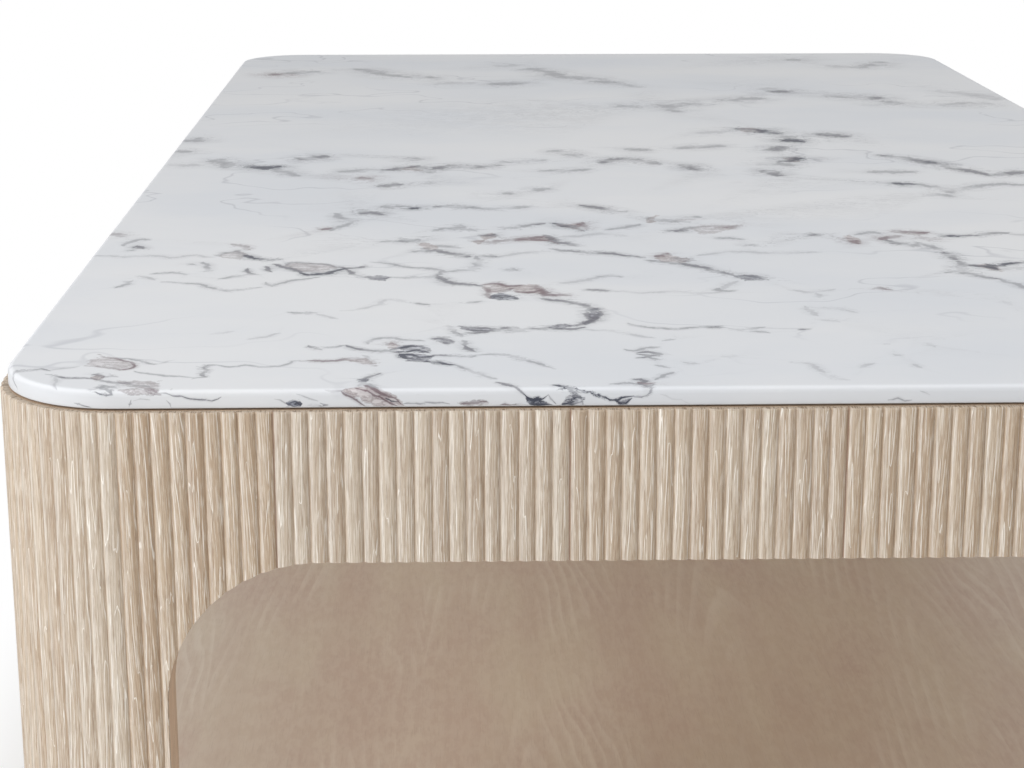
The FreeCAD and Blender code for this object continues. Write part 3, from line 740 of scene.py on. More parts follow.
def flat_facing(side, turn, distance, flat, half_window, run_start, count_start):
    """The reeded facing of one side, with its window."""
    along, behind, counted = np.array(reed_run(flat)).T
    extra = [x + flat / 2 for x in window_stations(half_window)]
    stations = sorted(set(np.round(np.concatenate([along, extra]), STATION_DIGITS)))
    columns = []
    for s in stations:
        depth = float(np.interp(s, along, behind))
        x = s - flat / 2
        heights, windowed = window_heights(x, half_window)
        front = turned(x, -distance + depth, turn)
        back = turned(x, -distance + SKIN_THICKNESS, turn)
        count = count_start + float(np.interp(s, along, counted))
        columns.append(Column(front, back, run_start + s, depth, count, heights, windowed))
    piece = sheet_from_columns("reeded_facing_" + side, columns, reeded_oak, REED_TOP_CHAMFER)
    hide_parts("reeded_skin_" + side)
    return piece


def corner_facing(corner, turn, x_sign, y_sign, run_start, count_start):
    """The facing that carries the reeds round one corner."""
    length = math.pi / 2 * CORNER_RADIUS
    centre_x, centre_y = x_sign * END_FLAT / 2, y_sign * SIDE_FLAT / 2
    columns = []
    for s, depth, count in reed_run(length, CORNER_CREST_DROP):
        angle = math.pi / 2 * s / length + math.radians(turn)
        ray = (math.cos(angle), math.sin(angle))
        outer, inner = CORNER_RADIUS - depth, CORNER_RADIUS - SKIN_THICKNESS
        front = (centre_x + outer * ray[0], centre_y + outer * ray[1])
        back = (centre_x + inner * ray[0], centre_y + inner * ray[1])
        reed = count_start + count
        columns.append(Column(front, back, run_start + s, depth, reed, UNCUT_HEIGHTS, False))
    piece = sheet_from_columns("reeded_corner_facing_" + corner, columns, reeded_oak, REED_TOP_CHAMFER)
    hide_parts("reeded_corner_" + corner)
    return piece


run, reeds = 0.0, 0
facings = []
bend = math.pi / 2 * CORNER_RADIUS
for side_row, corner_row in zip(SIDES, CORNERS):
    flat = side_row[3]
    facings.append(flat_facing(*side_row, run, reeds))
    run, reeds = run + flat, reeds + round(flat / REED_PITCH)
    facings.append(corner_facing(*corner_row, run, reeds))
    run, reeds = run + bend, reeds + round(bend / REED_PITCH)
for piece in facings:
    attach(piece, "casing")
print(len(facings), "facings with", reeds, "reeds in", round(run, 3), "m round the casing")

# %% [markdown]
# Behind each flat facing stands a board with the same window. Its cut edge is the smooth reveal that
# shows inside the reeds. The veneer of the shelf runs on over the sills of the windows, so that no
# joint shows where the shelf meets the walls.

# %% The wall boards
def wall_board(side, turn, distance, flat, half_window):
    """The board behind a facing, seen in the reveal of the window and from inside."""
    stations = [0.0, flat] + [x + flat / 2 for x in window_stations(half_window)]
    columns = []
    for s in sorted(set(np.round(stations, STATION_DIGITS))):
        x = s - flat / 2
        heights, windowed = window_heights(x, half_window)
        front = turned(x, -distance + SKIN_THICKNESS, turn)
        back = turned(x, -distance + SKIN_THICKNESS + WALL_THICKNESS, turn)
        columns.append(Column(front, back, s, 0.0, 0.0, heights, windowed))
    piece = sheet_from_columns("wall_board_" + side, columns, smooth_oak, WALL_TOP_CHAMFER, shelf_oak)
    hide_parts("wall_panel_" + side)
    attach(piece, "casing")


for side_row in SIDES:
    wall_board(*side_row)

# %% [markdown]
# The shelf is fitted tightly between the walls and the corner posts. The CAD leaves half a millimetre
# all round, so that the panel can go in. Veneered after it is in, the shelf shows only a hairline. It
# is an outline with round corners, at two heights.

# %% The shelf board
JOINT_GAP = 0.00005
CORNER_STEPS = 24


def corner_arcs(core_x, core_y, radius):
    """The four quarter turns of an outline round a rectangle, anticlockwise from the rear right."""
    arcs = []
    for x_sign, y_sign, start in ((1, 1, 0), (-1, 1, 90), (-1, -1, 180), (1, -1, 270)):
        centre_x, centre_y = x_sign * core_x, y_sign * core_y
        angles = [math.radians(start + 90 * k / CORNER_STEPS) for k in range(CORNER_STEPS + 1)]
        arcs.append([(centre_x + radius * math.cos(a), centre_y + radius * math.sin(a)) for a in angles])
    return arcs


def shelf_board():
    """The shelf, up to the walls."""
    inset = SKIN_THICKNESS + WALL_THICKNESS + JOINT_GAP
    radius = CORNER_RADIUS - inset
    outline = sum(corner_arcs(HALF_WIDTH - inset - radius, HALF_LENGTH - inset - radius, radius), [])
    count = len(outline)
    corners = [(x, y, height) for height in (shelf_high.z, shelf_low.z) for x, y in outline]
    faces = [list(range(count)), list(reversed(range(count, 2 * count)))]
    for k in range(count):
        after = (k + 1) % count
        faces.append([k, count + k, count + after, after])
    mesh = bpy.data.meshes.new("shelf_board")
    mesh.from_pydata(corners, [], faces)
    mesh.materials.append(shelf_oak)
    piece = put_in_scene("shelf_board", mesh)
    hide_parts("shelf_panel")
    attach(piece, "casing")
    print("the shelf's outline has", count, "corners")


shelf_board()

# %% [markdown]
# The slab's top, rounded edge and side are treated as one flat sheet of paper that is bent over the
# rim. A point of the sheet is on the flat top near the middle, then it goes round the soft edge,
# down the side and round the lower edge. Veins on the sheet then run over the edge, as in real stone.

# %% The stone as a bent sheet
stone_low, stone_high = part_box("marble_top")
STONE_CORNER = CORNER_RADIUS - (HALF_WIDTH - stone_high.x)
EDGE_ROUND = 0.0033
LOWER_ROUND = 0.0008
CORE_X, CORE_Y = stone_high.x - STONE_CORNER, stone_high.y - STONE_CORNER
FLAT_RADIUS = STONE_CORNER - EDGE_ROUND
BEND_LENGTH = EDGE_ROUND * math.pi / 2
SIDE_LENGTH = stone_high.z - stone_low.z - EDGE_ROUND - LOWER_ROUND
LOWER_LENGTH = LOWER_ROUND * math.pi / 2
NOT_ZERO = 1e-12
SEEN_RADIUS = FLAT_RADIUS + BEND_LENGTH + SIDE_LENGTH
SHEET_RADIUS = SEEN_RADIUS + LOWER_LENGTH
RIM_MARGIN = 0.00005


def from_core(sheet):
    """For points of the sheet: the nearest point of its core, the way from there, and how far."""
    core = np.clip(sheet, [-CORE_X, -CORE_Y], [CORE_X, CORE_Y])
    away = sheet - core
    return core, away, np.linalg.norm(away, axis=1)


def bend_over_edge(sheet):
    """Points and normals of the slab for points of the sheet."""
    core, away, distance = from_core(sheet)
    direction = away / np.maximum(distance, NOT_ZERO)[:, None]
    beyond = np.maximum(distance - FLAT_RADIUS, 0.0)
    angle = np.minimum(beyond / EDGE_ROUND, math.pi / 2)
    outward = np.where(beyond > 0, FLAT_RADIUS + EDGE_ROUND * np.sin(angle), distance)
    drop = EDGE_ROUND * (1 - np.cos(angle)) + np.clip(beyond - BEND_LENGTH, 0.0, SIDE_LENGTH)
    turn = np.clip((beyond - BEND_LENGTH - SIDE_LENGTH) / LOWER_ROUND, 0.0, math.pi / 2)
    outward = outward - LOWER_ROUND * (1 - np.cos(turn))
    drop = drop + LOWER_ROUND * np.sin(turn)
    points = np.column_stack([core + direction * outward[:, None], stone_high.z - drop])
    upright = np.cos(angle) - np.sin(turn)
    normals = np.column_stack([direction * (np.sin(angle) * np.cos(turn))[:, None], upright])
    return points, normals


def onto_sheet(sheet, limit=SHEET_RADIUS - RIM_MARGIN):
    """Moves points that fell off the sheet back to just inside its rim, or nearer to the core."""
    core, away, distance = from_core(sheet)
    return core + away * np.minimum(1.0, limit / np.maximum(distance, NOT_ZERO))[:, None]


def seen_at(sheet):
    """The pixels where the camera sees points of the sheet."""
    return to_pixels(bend_over_edge(sheet)[0])


print("stone %.4f x %.4f m, sheet reaches %.1f mm past the flat" % (
    2 * stone_high.x, 2 * stone_high.y, 1000 * (SHEET_RADIUS - FLAT_RADIUS)))

# %% [markdown]
# A vein is read at pixels of the picture, and its place on the sheet is wanted. Bending and looking
# can't be turned round in one formula, so the place is found step by step: a first guess on the flat
# top, then small steps that shorten the way between the pixel wanted and the pixel seen.

# %% From the picture to the sheet
SOLVER_ROUNDS = 30
SMALL_MOVE = 1e-5
LONGEST_STEP = 0.003
LEAST_AREA = 1e-3


def sheet_from_pixels(pixels):
    """The points of the sheet that the camera sees at those pixels, found step by step."""
    pixels = np.array(pixels, float)
    right, up = pixels[:, 0] - IMAGE_WIDTH / 2, IMAGE_HEIGHT / 2 - pixels[:, 1]
    rays = np.column_stack([right, up, np.full(len(pixels), -focal_pixels)]) @ camera_axes.T
    eye = np.array(CAMERA_PLACE)
    reach = (stone_high.z - eye[2]) / rays[:, 2]
    sheet = onto_sheet(eye[:2] + rays[:, :2] * reach[:, None], FLAT_RADIUS + BEND_LENGTH)
    for _ in range(SOLVER_ROUNDS):
        here = seen_at(sheet)
        by_x = (seen_at(sheet + [SMALL_MOVE, 0]) - here) / SMALL_MOVE
        by_y = (seen_at(sheet + [0, SMALL_MOVE]) - here) / SMALL_MOVE
        miss = pixels - here
        area = by_x[:, 0] * by_y[:, 1] - by_y[:, 0] * by_x[:, 1]
        area = np.where(np.abs(area) < LEAST_AREA, LEAST_AREA, area)
        step_x = (miss[:, 0] * by_y[:, 1] - by_y[:, 0] * miss[:, 1]) / area
        step_y = (by_x[:, 0] * miss[:, 1] - miss[:, 0] * by_x[:, 1]) / area
        step = np.clip(np.column_stack([step_x, step_y]), -LONGEST_STEP, LONGEST_STEP)
        sheet = onto_sheet(sheet + step, SEEN_RADIUS)
    return sheet


probe = (IMAGE_WIDTH / 2, IMAGE_HEIGHT / 4)
print("the pixel", probe, "shows the sheet at", sheet_from_pixels([probe])[0].round(3))

# %% [markdown]
# The veins follow the photograph. Each is a short list of places in the picture, with its kind and how
# thick its dark middle looks in pixels. The camera turns the places into points of the sheet, so the veins
# lie on the stone itself. Kinds differ in strength and in warmth, from slate to burgundy. A vein's grey
# spreads past its middle, and further where the picture is less sharp, so each area of the stone has a
# number that widens its veins.

# %% The veins in view
# kind: strength, warmth
VEIN_KINDS = {
    "faint": (0.30, 0.1),
    "soft": (0.52, 0.1),
    "clear": (0.78, 0.15),
    "dark": (1.00, 0.0),
    "bold": (1.60, 0.0),
    "wine": (0.85, 1.0),
    "tan": (0.50, 0.7),
}

SEEN_VEINS = {
    "near left corner": [
        ("clear", 1.2, "18,390 15,384 13,377 18,371 30,370 41,369 50,371"),
        ("clear", 1.1, "45,374 55,376 65,378 85,378 98,379"),
        ("faint", 1.0, "45,371 60,369 80,366"),
        ("wine", 1.0, "84,366 95,366 105,368 120,370 129,369 135,366 130,362 118,359 104,357 98,354"),
        ("soft", 1.1, "118,358 130,359 142,361 150,364 158,364"),
        ("faint", 1.0, "158,364 168,361 175,360"),
        ("clear", 1.8, "92,375 98,374 103,377 112,376 118,377"),
        ("clear", 1.8, "92,379 103,381 118,383 135,385 150,387"),
        ("wine", 1.6, "140,387 148,391 152,394 160,395 154,391 148,388"),
        ("clear", 1.3, "158,393 173,396 190,399 206,400 212,401 218,399 221,397"),
        ("dark", 1.6, "95,392 102,395 112,395 110,391 105,389 112,387 103,386 100,388 106,390"),
        ("soft", 1.0, "86,390 95,389 100,388"),
        ("soft", 1.0, "112,386 130,386 148,387 158,389"),
        ("dark", 1.4, "131,400 130,404 129,407"),
        ("soft", 1.0, "133,401 140,399 150,400"),
        ("soft", 1.2, "166,400 170,404 171,408"),
        ("clear", 1.2, "74,403 84,406 91,408"),
        ("faint", 1.2, "56,375 54,384 57,390"),
        ("soft", 1.0, "134,371 150,374 165,376 185,377 200,378"),
        ("clear", 1.3, "192,379 205,377 202,374 207,370 203,368 208,365 217,365"),
        ("soft", 1.0, "217,365 230,367 245,365 262,367 280,366 290,363 292,361 300,360"),
        ("faint", 1.0, "196,366 203,369"),
        ("soft", 1.2, "274,399 285,403 292,406"),
        ("soft", 1.2, "296,394 305,397 318,401"),
        ("dark", 1.4, "288,404 295,401 301,405"),
        ("clear", 1.4, "320,403 327,405 322,407"),
        ("tan", 1.8, "325,390 337,391 345,390"),
    ],
    "left": [
        ("faint", 1.4, "93,256 125,257 160,256 175,258 185,256 197,255 205,257 215,257"),
        ("clear", 1.3, "217,256 225,253 237,251 243,254 249,257"),
        ("dark", 1.7, "243,254 250,257 258,259 268,260 283,259"),
        ("wine", 1.4, "231,244 240,246 246,247 250,250"),
        ("soft", 1.2, "285,266 292,262 305,263 325,264 335,267"),
        ("clear", 1.5, "273,264 283,267 295,270 301,273"),
        ("dark", 1.8, "300,273 308,275 318,274 330,273 338,270 346,268"),
        ("clear", 1.3, "334,267 345,268 355,268 366,266"),
        ("clear", 1.4, "345,269 350,272 360,276 370,278 382,279 390,277"),
        ("soft", 1.2, "370,262 385,263 400,266 415,268 440,269"),
        ("soft", 1.2, "388,277 405,278 420,277 433,277 440,274 441,271"),
        ("soft", 1.2, "115,288 127,284 133,280"),
        ("soft", 1.2, "140,276 150,278 155,280"),
        ("soft", 1.2, "150,274 165,273 178,273 187,275"),
        ("soft", 1.2, "161,282 180,283 200,284 215,289 230,291 245,289 262,287"),
        ("soft", 1.2, "218,279 230,277 245,275 260,275"),
        ("clear", 1.1, "248,268 250,273 255,275"),
        ("soft", 1.1, "188,264 196,265"),
        ("soft", 1.3, "203,262 208,265 208,269 204,272"),
        ("clear", 1.1, "265,266 268,271 272,272"),
        ("soft", 1.2, "266,282 272,286 278,284 290,281 305,279 320,277"),
        ("tan", 2.4, "110,235 116,234 122,237"),
        ("soft", 1.4, "123,246 130,242 142,239 150,240"),
        ("clear", 1.6, "132,248 138,246 143,249"),
        ("soft", 1.2, "127,251 134,250"),
        ("clear", 1.3, "287,312 300,313 310,313 317,313"),
        ("faint", 1.0, "316,314 330,317 338,319"),
        ("faint", 1.2, "340,311 365,308 380,304 386,300 395,300 410,303"),
        ("clear", 1.2, "411,303 422,304 430,305"),
        ("clear", 1.3, "308,345 315,348 322,350"),
        ("soft", 1.1, "322,348 335,347 346,345"),
        ("faint", 1.2, "210,334 234,331"),
        ("faint", 1.2, "247,340 280,333"),
    ],
    "centre back": [
        ("dark", 1.9, "396,241 406,241 414,240 420,240"),
        ("soft", 1.2, "380,242 396,241"),
        ("clear", 1.5, "421,248 428,251 437,250 450,254 460,256 468,257"),
        ("soft", 1.6, "437,246 450,247 460,248"),
        ("clear", 1.5, "445,254 455,254 465,256 470,257"),
        ("soft", 1.3, "412,252 421,250"),
        ("wine", 1.4, "470,241 480,241 490,243 497,241 510,240 522,240 540,240 552,241 558,244"),
        ("wine", 1.6, "515,239 530,238 548,236"),
        ("clear", 1.7, "545,235 552,239 557,243 565,243 575,246"),
        ("faint", 1.5, "560,237 580,236 600,234 625,236"),
        ("clear", 1.4, "480,235 490,236 495,234"),
        ("clear", 1.2, "483,256 490,256 497,257"),
        ("faint", 1.2, "497,257 515,254 535,252 550,251"),
        ("clear", 1.4, "550,249 565,251 580,252 600,253 615,254 630,256 645,258"),
        ("clear", 1.5, "644,260 660,262 680,263 695,266 700,267 712,271 725,273 735,276"),
        ("wine", 1.4, "655,257 663,255 668,253"),
        ("clear", 1.5, "675,258 685,261 693,258"),
        ("soft", 1.3, "476,256 480,260 478,266 470,270 455,271 444,272 441,270"),
        ("clear", 1.5, "437,275 443,279 450,283 460,284 475,285 482,286"),
        ("soft", 1.3, "424,268 432,269 443,270"),
        ("faint", 1.3, "560,283 575,282 590,279 600,277"),
        ("soft", 1.2, "596,277 612,276 622,277"),
        ("clear", 1.1, "582,290 595,290 610,291"),
        ("faint", 1.1, "610,291 640,293 675,291 713,293 738,290"),
        ("soft", 1.2, "505,270 512,269 517,271"),
    ],
    "centre": [
        ("wine", 1.3, "482,285 490,284 498,283 506,286 514,286 522,285"),
        ("wine", 1.2, "484,287 489,292 490,298"),
        ("wine", 1.9, "536,286 541,290 545,295 555,295 565,295 571,296"),
        ("wine", 1.2, "490,292 502,292 514,288"),
        ("wine", 1.2, "515,292 528,293 543,291"),
        ("dark", 2.0, "492,297 495,296 503,295 510,298 518,299"),
        ("soft", 1.2, "466,303 475,302 482,301"),
        ("clear", 1.8, "540,298 552,300 565,301 578,304 590,308 600,309"),
        ("dark", 1.6, "586,311 592,309 600,309"),
        ("clear", 1.8, "600,311 598,315 592,321 583,324 575,326"),
        ("clear", 1.5, "588,312 590,317 594,321"),
        ("clear", 1.7, "575,326 562,325 552,327 545,328 560,329 575,329 585,327"),
        ("clear", 1.5, "545,329 530,328 520,331 508,331 515,329 505,328 495,331 485,331 470,330 460,328"),
        ("clear", 1.5, "458,326 470,327 485,328 500,329"),
        ("clear", 1.2, "464,333 475,333 490,332"),
        ("soft", 1.2, "448,325 452,329 458,334 462,337"),
        ("clear", 1.3, "458,333 463,336"),
        ("clear", 1.5, "431,339 440,338 452,341"),
        ("clear", 1.4, "440,342 450,344"),
        ("clear", 1.5, "465,346 470,350 476,352"),
        ("soft", 1.2, "462,340 465,346"),
        ("soft", 1.2, "368,344 372,340 382,338 395,338 405,340 425,341"),
        ("wine", 1.4, "388,345 393,343 400,346"),
        ("bold", 1.2, "390,350 400,348 411,346 428,348"),
        ("bold", 1.1, "396,351 406,352 417,350 430,353"),
        ("clear", 1.4, "346,345 353,348 362,350 375,351 385,351 400,353"),
        ("bold", 1.2, "400,354 405,358 415,359 428,360"),
        ("bold", 1.1, "399,354 412,355 422,357 434,356"),
        ("bold", 1.0, "408,361 420,360 431,362 441,363"),
        ("clear", 1.3, "430,356 440,355 455,356 470,357 476,355"),
        ("dark", 1.4, "431,361 438,362 445,364 455,365"),
        ("soft", 1.2, "476,355 490,354 507,355 520,359 533,362 545,366 555,369"),
        ("soft", 1.2, "455,365 465,369 475,373 485,376 497,379"),
        ("wine", 1.4, "300,361 320,361 336,361 348,359 358,361 370,364 376,366"),
        ("wine", 1.3, "336,360 350,358 362,359 372,361 376,364"),
        ("soft", 1.1, "362,355 368,359 374,364"),
        ("clear", 1.2, "381,373 375,375 367,378 362,381 358,380"),
        ("dark", 1.5, "357,380 365,381 368,379"),
        ("soft", 1.1, "628,323 640,326 655,328 668,329 680,329 700,327 715,327"),
        ("clear", 1.3, "705,327 722,327 728,328"),
        ("soft", 1.1, "728,328 740,330 752,329 765,327"),
        ("soft", 1.1, "750,331 765,332 770,333"),
        ("clear", 1.0, "798,330 811,329"),
        ("faint", 1.1, "582,329 610,331 640,336 655,338"),
        ("clear", 1.0, "662,341 668,340 676,339"),
        ("soft", 1.1, "624,349 633,351 645,348 660,347"),
        ("clear", 1.4, "637,353 648,352 662,354 650,356 637,354"),
        ("clear", 1.3, "636,358 648,357 660,360"),
        ("soft", 1.1, "655,365 665,367 670,368"),
    ],
    "near edge": [
        ("soft", 1.4, "358,386 364,383 370,386 378,388"),
        ("wine", 1.6, "341,391 348,396 356,400 365,406"),
        ("wine", 1.8, "364,385 375,390 385,395 395,398 401,404"),
        ("wine", 1.4, "355,388 368,391 380,397 392,404 397,407"),
        ("dark", 1.3, "385,398 392,401 398,402"),
        ("soft", 1.1, "403,404 420,404 435,403 450,404"),
        ("wine", 1.3, "460,404 470,403 488,402"),
        ("wine", 1.5, "500,405 505,404 511,406"),
        ("clear", 1.3, "496,382 505,384 512,386 520,391 525,395 528,400"),
        ("bold", 1.6, "524,394 528,398 533,400 538,398 541,403"),
        ("bold", 1.2, "531,405 536,400 543,399 548,395"),
        ("clear", 1.4, "548,394 551,399 556,404"),
        ("bold", 1.4, "529,404 540,405 552,405"),
        ("bold", 1.3, "553,385 562,386 569,388 578,389"),
        ("bold", 2.0, "565,387 571,391 577,395 582,399 583,405"),
        ("bold", 2.0, "576,391 573,396 577,400 570,403 562,405"),
        ("bold", 1.4, "566,400 572,399 579,396"),
        ("bold", 1.4, "562,404 572,405 583,402"),
        ("bold", 1.3, "578,390 590,392 600,396 610,400 618,400 626,397 634,396"),
        ("bold", 1.4, "614,400 620,403 626,403 632,398"),
        ("clear", 1.6, "620,402 622,406"),
        ("soft", 1.4, "600,396 605,400"),
        ("clear", 1.2, "634,397 642,397 650,393 652,388 648,386"),
        ("wine", 1.4, "638,382 645,384 655,383"),
        ("clear", 1.3, "632,380 640,379 646,381 640,384 648,387 654,384"),
        ("soft", 1.2, "610,384 625,383 638,384"),
        ("soft", 1.1, "655,380 662,377 668,374 674,372"),
        ("faint", 1.2, "660,394 672,399 690,404"),
        ("soft", 1.3, "888,400 898,398 905,401 912,400"),
        ("faint", 1.3, "920,391 930,395"),
    ],
    "behind the centre": [
        ("clear", 1.5, "433,231 445,228 455,229 460,226 463,229 475,231"),
        ("clear", 1.3, "500,228 515,228 530,225 545,223"),
        ("dark", 1.7, "553,223 565,226 575,227 583,231"),
        ("wine", 1.6, "582,222 583,230"),
        ("soft", 1.2, "330,231 340,227 352,222"),
        ("soft", 1.2, "335,213 345,219 352,223"),
        ("soft", 1.2, "605,230 622,228 640,224"),
        ("clear", 1.5, "665,231 680,231 690,228 700,227"),
        ("wine", 1.4, "697,227 715,226 730,227 742,225"),
        ("clear", 1.8, "580,205 600,208 612,211 625,212"),
        ("clear", 2.0, "647,218 660,220 672,221 690,222"),
        ("wine", 1.6, "680,221 692,219"),
        ("soft", 1.6, "680,219 700,217"),
        ("clear", 1.8, "382,207 392,207 400,207"),
        ("dark", 1.8, "410,208 417,208"),
        ("clear", 2.0, "358,210 365,213 375,213 383,215"),
        ("clear", 1.8, "435,207 450,206 462,207 476,208"),
        ("soft", 1.6, "476,208 495,209 515,208 530,206"),
        ("soft", 1.6, "340,222 350,220 358,221"),
        ("wine", 1.4, "322,230 332,228"),
        ("soft", 1.8, "505,194 512,193"),
        ("soft", 1.8, "535,191 548,188"),
    ],
    "right": [
        ("dark", 1.9, "735,276 745,276 757,277 765,278"),
        ("soft", 1.2, "720,288 716,290 722,291 735,291"),
        ("faint", 1.2, "722,290 728,285 738,281"),
        ("faint", 1.3, "697,256 710,254 725,252 750,252 790,253 820,252"),
        ("soft", 1.2, "715,238 730,238 745,240"),
        ("clear", 1.4, "747,245 757,245"),
        ("clear", 1.6, "808,235 823,235"),
        ("wine", 1.7, "845,238 852,241 858,244"),
        ("soft", 1.3, "855,235 870,232 882,234"),
        ("wine", 1.8, "881,240 890,237 900,236"),
        ("wine", 1.6, "891,232 900,231 910,232 922,233 930,232"),
        ("clear", 1.5, "882,240 895,243 905,244 912,246 918,243"),
        ("wine", 2.0, "920,238 930,239 942,239"),
        ("dark", 1.5, "938,236 950,236 962,236"),
        ("clear", 1.4, "962,236 980,235 995,233 1008,233"),
        ("faint", 1.3, "1008,234 1024,235 1050,236"),
        ("soft", 1.3, "915,242 930,246 942,251"),
        ("clear", 1.9, "944,252 952,256 957,260"),
        ("clear", 1.7, "958,261 962,265 962,271 964,274"),
        ("dark", 1.7, "965,265 980,266 990,267 998,270"),
        ("dark", 1.5, "985,264 1000,266 1012,263 1030,263 1060,262"),
        ("soft", 1.3, "1000,270 1012,268 1030,268"),
        ("clear", 1.4, "946,273 955,271 962,272 975,274 985,277 1000,279"),
        ("soft", 1.3, "1000,279 1012,283 1026,288 1045,292"),
        ("wine", 1.1, "873,289 880,288 893,290"),
        ("faint", 1.2, "789,290 805,292 820,291 835,289"),
        ("faint", 1.1, "816,293 820,298"),
        ("faint", 1.2, "805,306 812,312 818,316"),
        ("faint", 1.3, "818,308 838,308 858,313"),
        ("faint", 1.2, "820,320 840,322"),
        ("faint", 1.2, "1003,301 1012,305"),
        ("soft", 1.0, "884,344 890,344"),
        ("faint", 1.2, "820,373 835,378 850,380"),
        ("faint", 1.2, "790,362 812,364 820,370 825,374"),
        ("faint", 1.1, "860,368 875,363"),
        ("faint", 1.1, "927,343 935,347"),
        ("faint", 1.1, "893,354 903,356"),
        ("faint", 1.1, "913,364 922,368"),
        ("faint", 1.1, "720,357 738,356"),
        ("faint", 1.1, "683,362 700,364"),
    ],
    "far left": [
        ("wine", 2.8, "274,74 280,75 288,74"),
        ("soft", 2.4, "288,73 305,72 318,72"),
        ("soft", 2.4, "355,69 370,71 385,74 400,76 425,77 440,79"),
        ("faint", 2.4, "440,84 470,83"),
        ("soft", 2.4, "490,84 505,84 525,82"),
        ("faint", 2.4, "500,66 515,65"),
        ("soft", 2.0, "340,172 355,171 370,170 380,171"),
        ("clear", 2.0, "380,171 390,170 405,168 415,167 425,170 432,173"),
        ("clear", 1.9, "430,170 440,167 455,166 475,167 490,166 500,165"),
        ("soft", 2.0, "410,158 418,160"),
        ("dark", 2.3, "246,166 256,167 265,168 275,167 280,166"),
        ("soft", 2.0, "275,168 285,172 298,176"),
        ("clear", 2.2, "298,158 308,159 318,157 328,156"),
        ("soft", 2.4, "212,162 220,160 228,164 224,168"),
        ("faint", 2.0, "170,165 200,165"),
        ("wine", 2.2, "357,178 363,179 370,178"),
        ("clear", 2.0, "378,186 388,186 400,184"),
        ("soft", 1.8, "425,184 432,183"),
        ("soft", 2.0, "180,140 195,141 200,138"),
        ("soft", 2.0, "178,151 187,152"),
        ("soft", 2.0, "548,152 560,151 570,154 582,157"),
        ("soft", 1.8, "500,162 530,161 545,160"),
        ("soft", 1.8, "540,171 560,171 590,169"),
    ],
    "far right": [
        ("soft", 2.8, "518,70 535,69 550,72 565,77 580,78 595,80 605,82 620,85 640,87"),
        ("clear", 2.4, "775,91 785,92"),
        ("faint", 2.4, "768,88 775,91"),
        ("clear", 2.8, "843,97 855,97 870,98 880,98"),
        ("soft", 2.4, "830,95 843,97"),
        ("soft", 2.4, "885,102 897,104"),
        ("soft", 3.0, "790,60 797,60"),
        ("soft", 3.0, "850,67 860,67 875,65 884,62"),
        ("faint", 2.8, "830,66 850,67"),
        ("soft", 2.4, "620,107 632,106"),
        ("soft", 2.2, "660,103 672,108 678,112"),
        ("soft", 2.2, "685,103 697,104"),
        ("soft", 2.4, "722,100 735,100 760,98"),
        ("soft", 2.6, "940,105 965,104 990,104"),
        ("faint", 2.6, "940,90 980,96 1000,100"),
        ("dark", 2.2, "736,129 748,130 760,131 778,134"),
        ("faint", 2.2, "700,133 720,132"),
        ("dark", 2.0, "784,141 792,140 801,142"),
        ("soft", 2.0, "775,136 790,137"),
        ("clear", 2.0, "768,150 778,150 785,146"),
        ("dark", 2.2, "780,161 790,160 800,158"),
        ("clear", 2.0, "762,172 770,171 780,176"),
        ("soft", 2.0, "778,163 790,166"),
        ("faint", 2.0, "760,165 775,160"),
        ("clear", 2.2, "817,134 830,135 846,137"),
        ("clear", 2.0, "600,163 612,160 625,159 637,161 658,164"),
        ("clear", 2.0, "683,165 693,168 700,171"),
        ("soft", 1.8, "628,149 650,150"),
        ("soft", 1.8, "675,149 700,147 725,146"),
        ("clear", 1.9, "878,155 895,157 910,159 925,162 935,164 950,167 965,170 980,173 990,176"),
        ("dark", 1.8, "922,161 930,163 937,164"),
        ("clear", 1.9, "985,175 998,175 1010,173 1030,172 1060,171"),
        ("soft", 1.8, "868,172 890,172 915,172"),
        ("dark", 1.8, "892,183 905,184 915,184"),
        ("soft", 1.7, "915,184 940,188 952,189 975,187 1000,184 1030,185"),
        ("soft", 1.7, "927,196 940,195 955,197"),
        ("soft", 1.6, "946,188 950,193"),
    ],
}

# area: how many times wider than their dark middles its veins are
AREA_WIDTHS = {
    "near left corner": 1.05,
    "left": 1.15,
    "centre back": 1.55,
    "centre": 1.35,
    "near edge": 1.4,
    "behind the centre": 1.5,
    "right": 1.5,
    "far left": 1.5,
    "far right": 1.6,
}
print(sum(len(rows) for rows in SEEN_VEINS.values()), "veins are read from the picture")

# %% [markdown]
# Between some veins the stone is stained: beige, grey or wine-coloured patches with soft rims. They
# are outlines in the picture too, because a stain has an inside, which a widened line can't give.

# %% The stained patches in view
# kind: strength, warmth
PATCH_KINDS = {
    "beige": (0.42, 0.75),
    "grey": (0.60, 0.15),
    "wine": (0.52, 1.0),
    "slate": (0.90, 0.0),
}

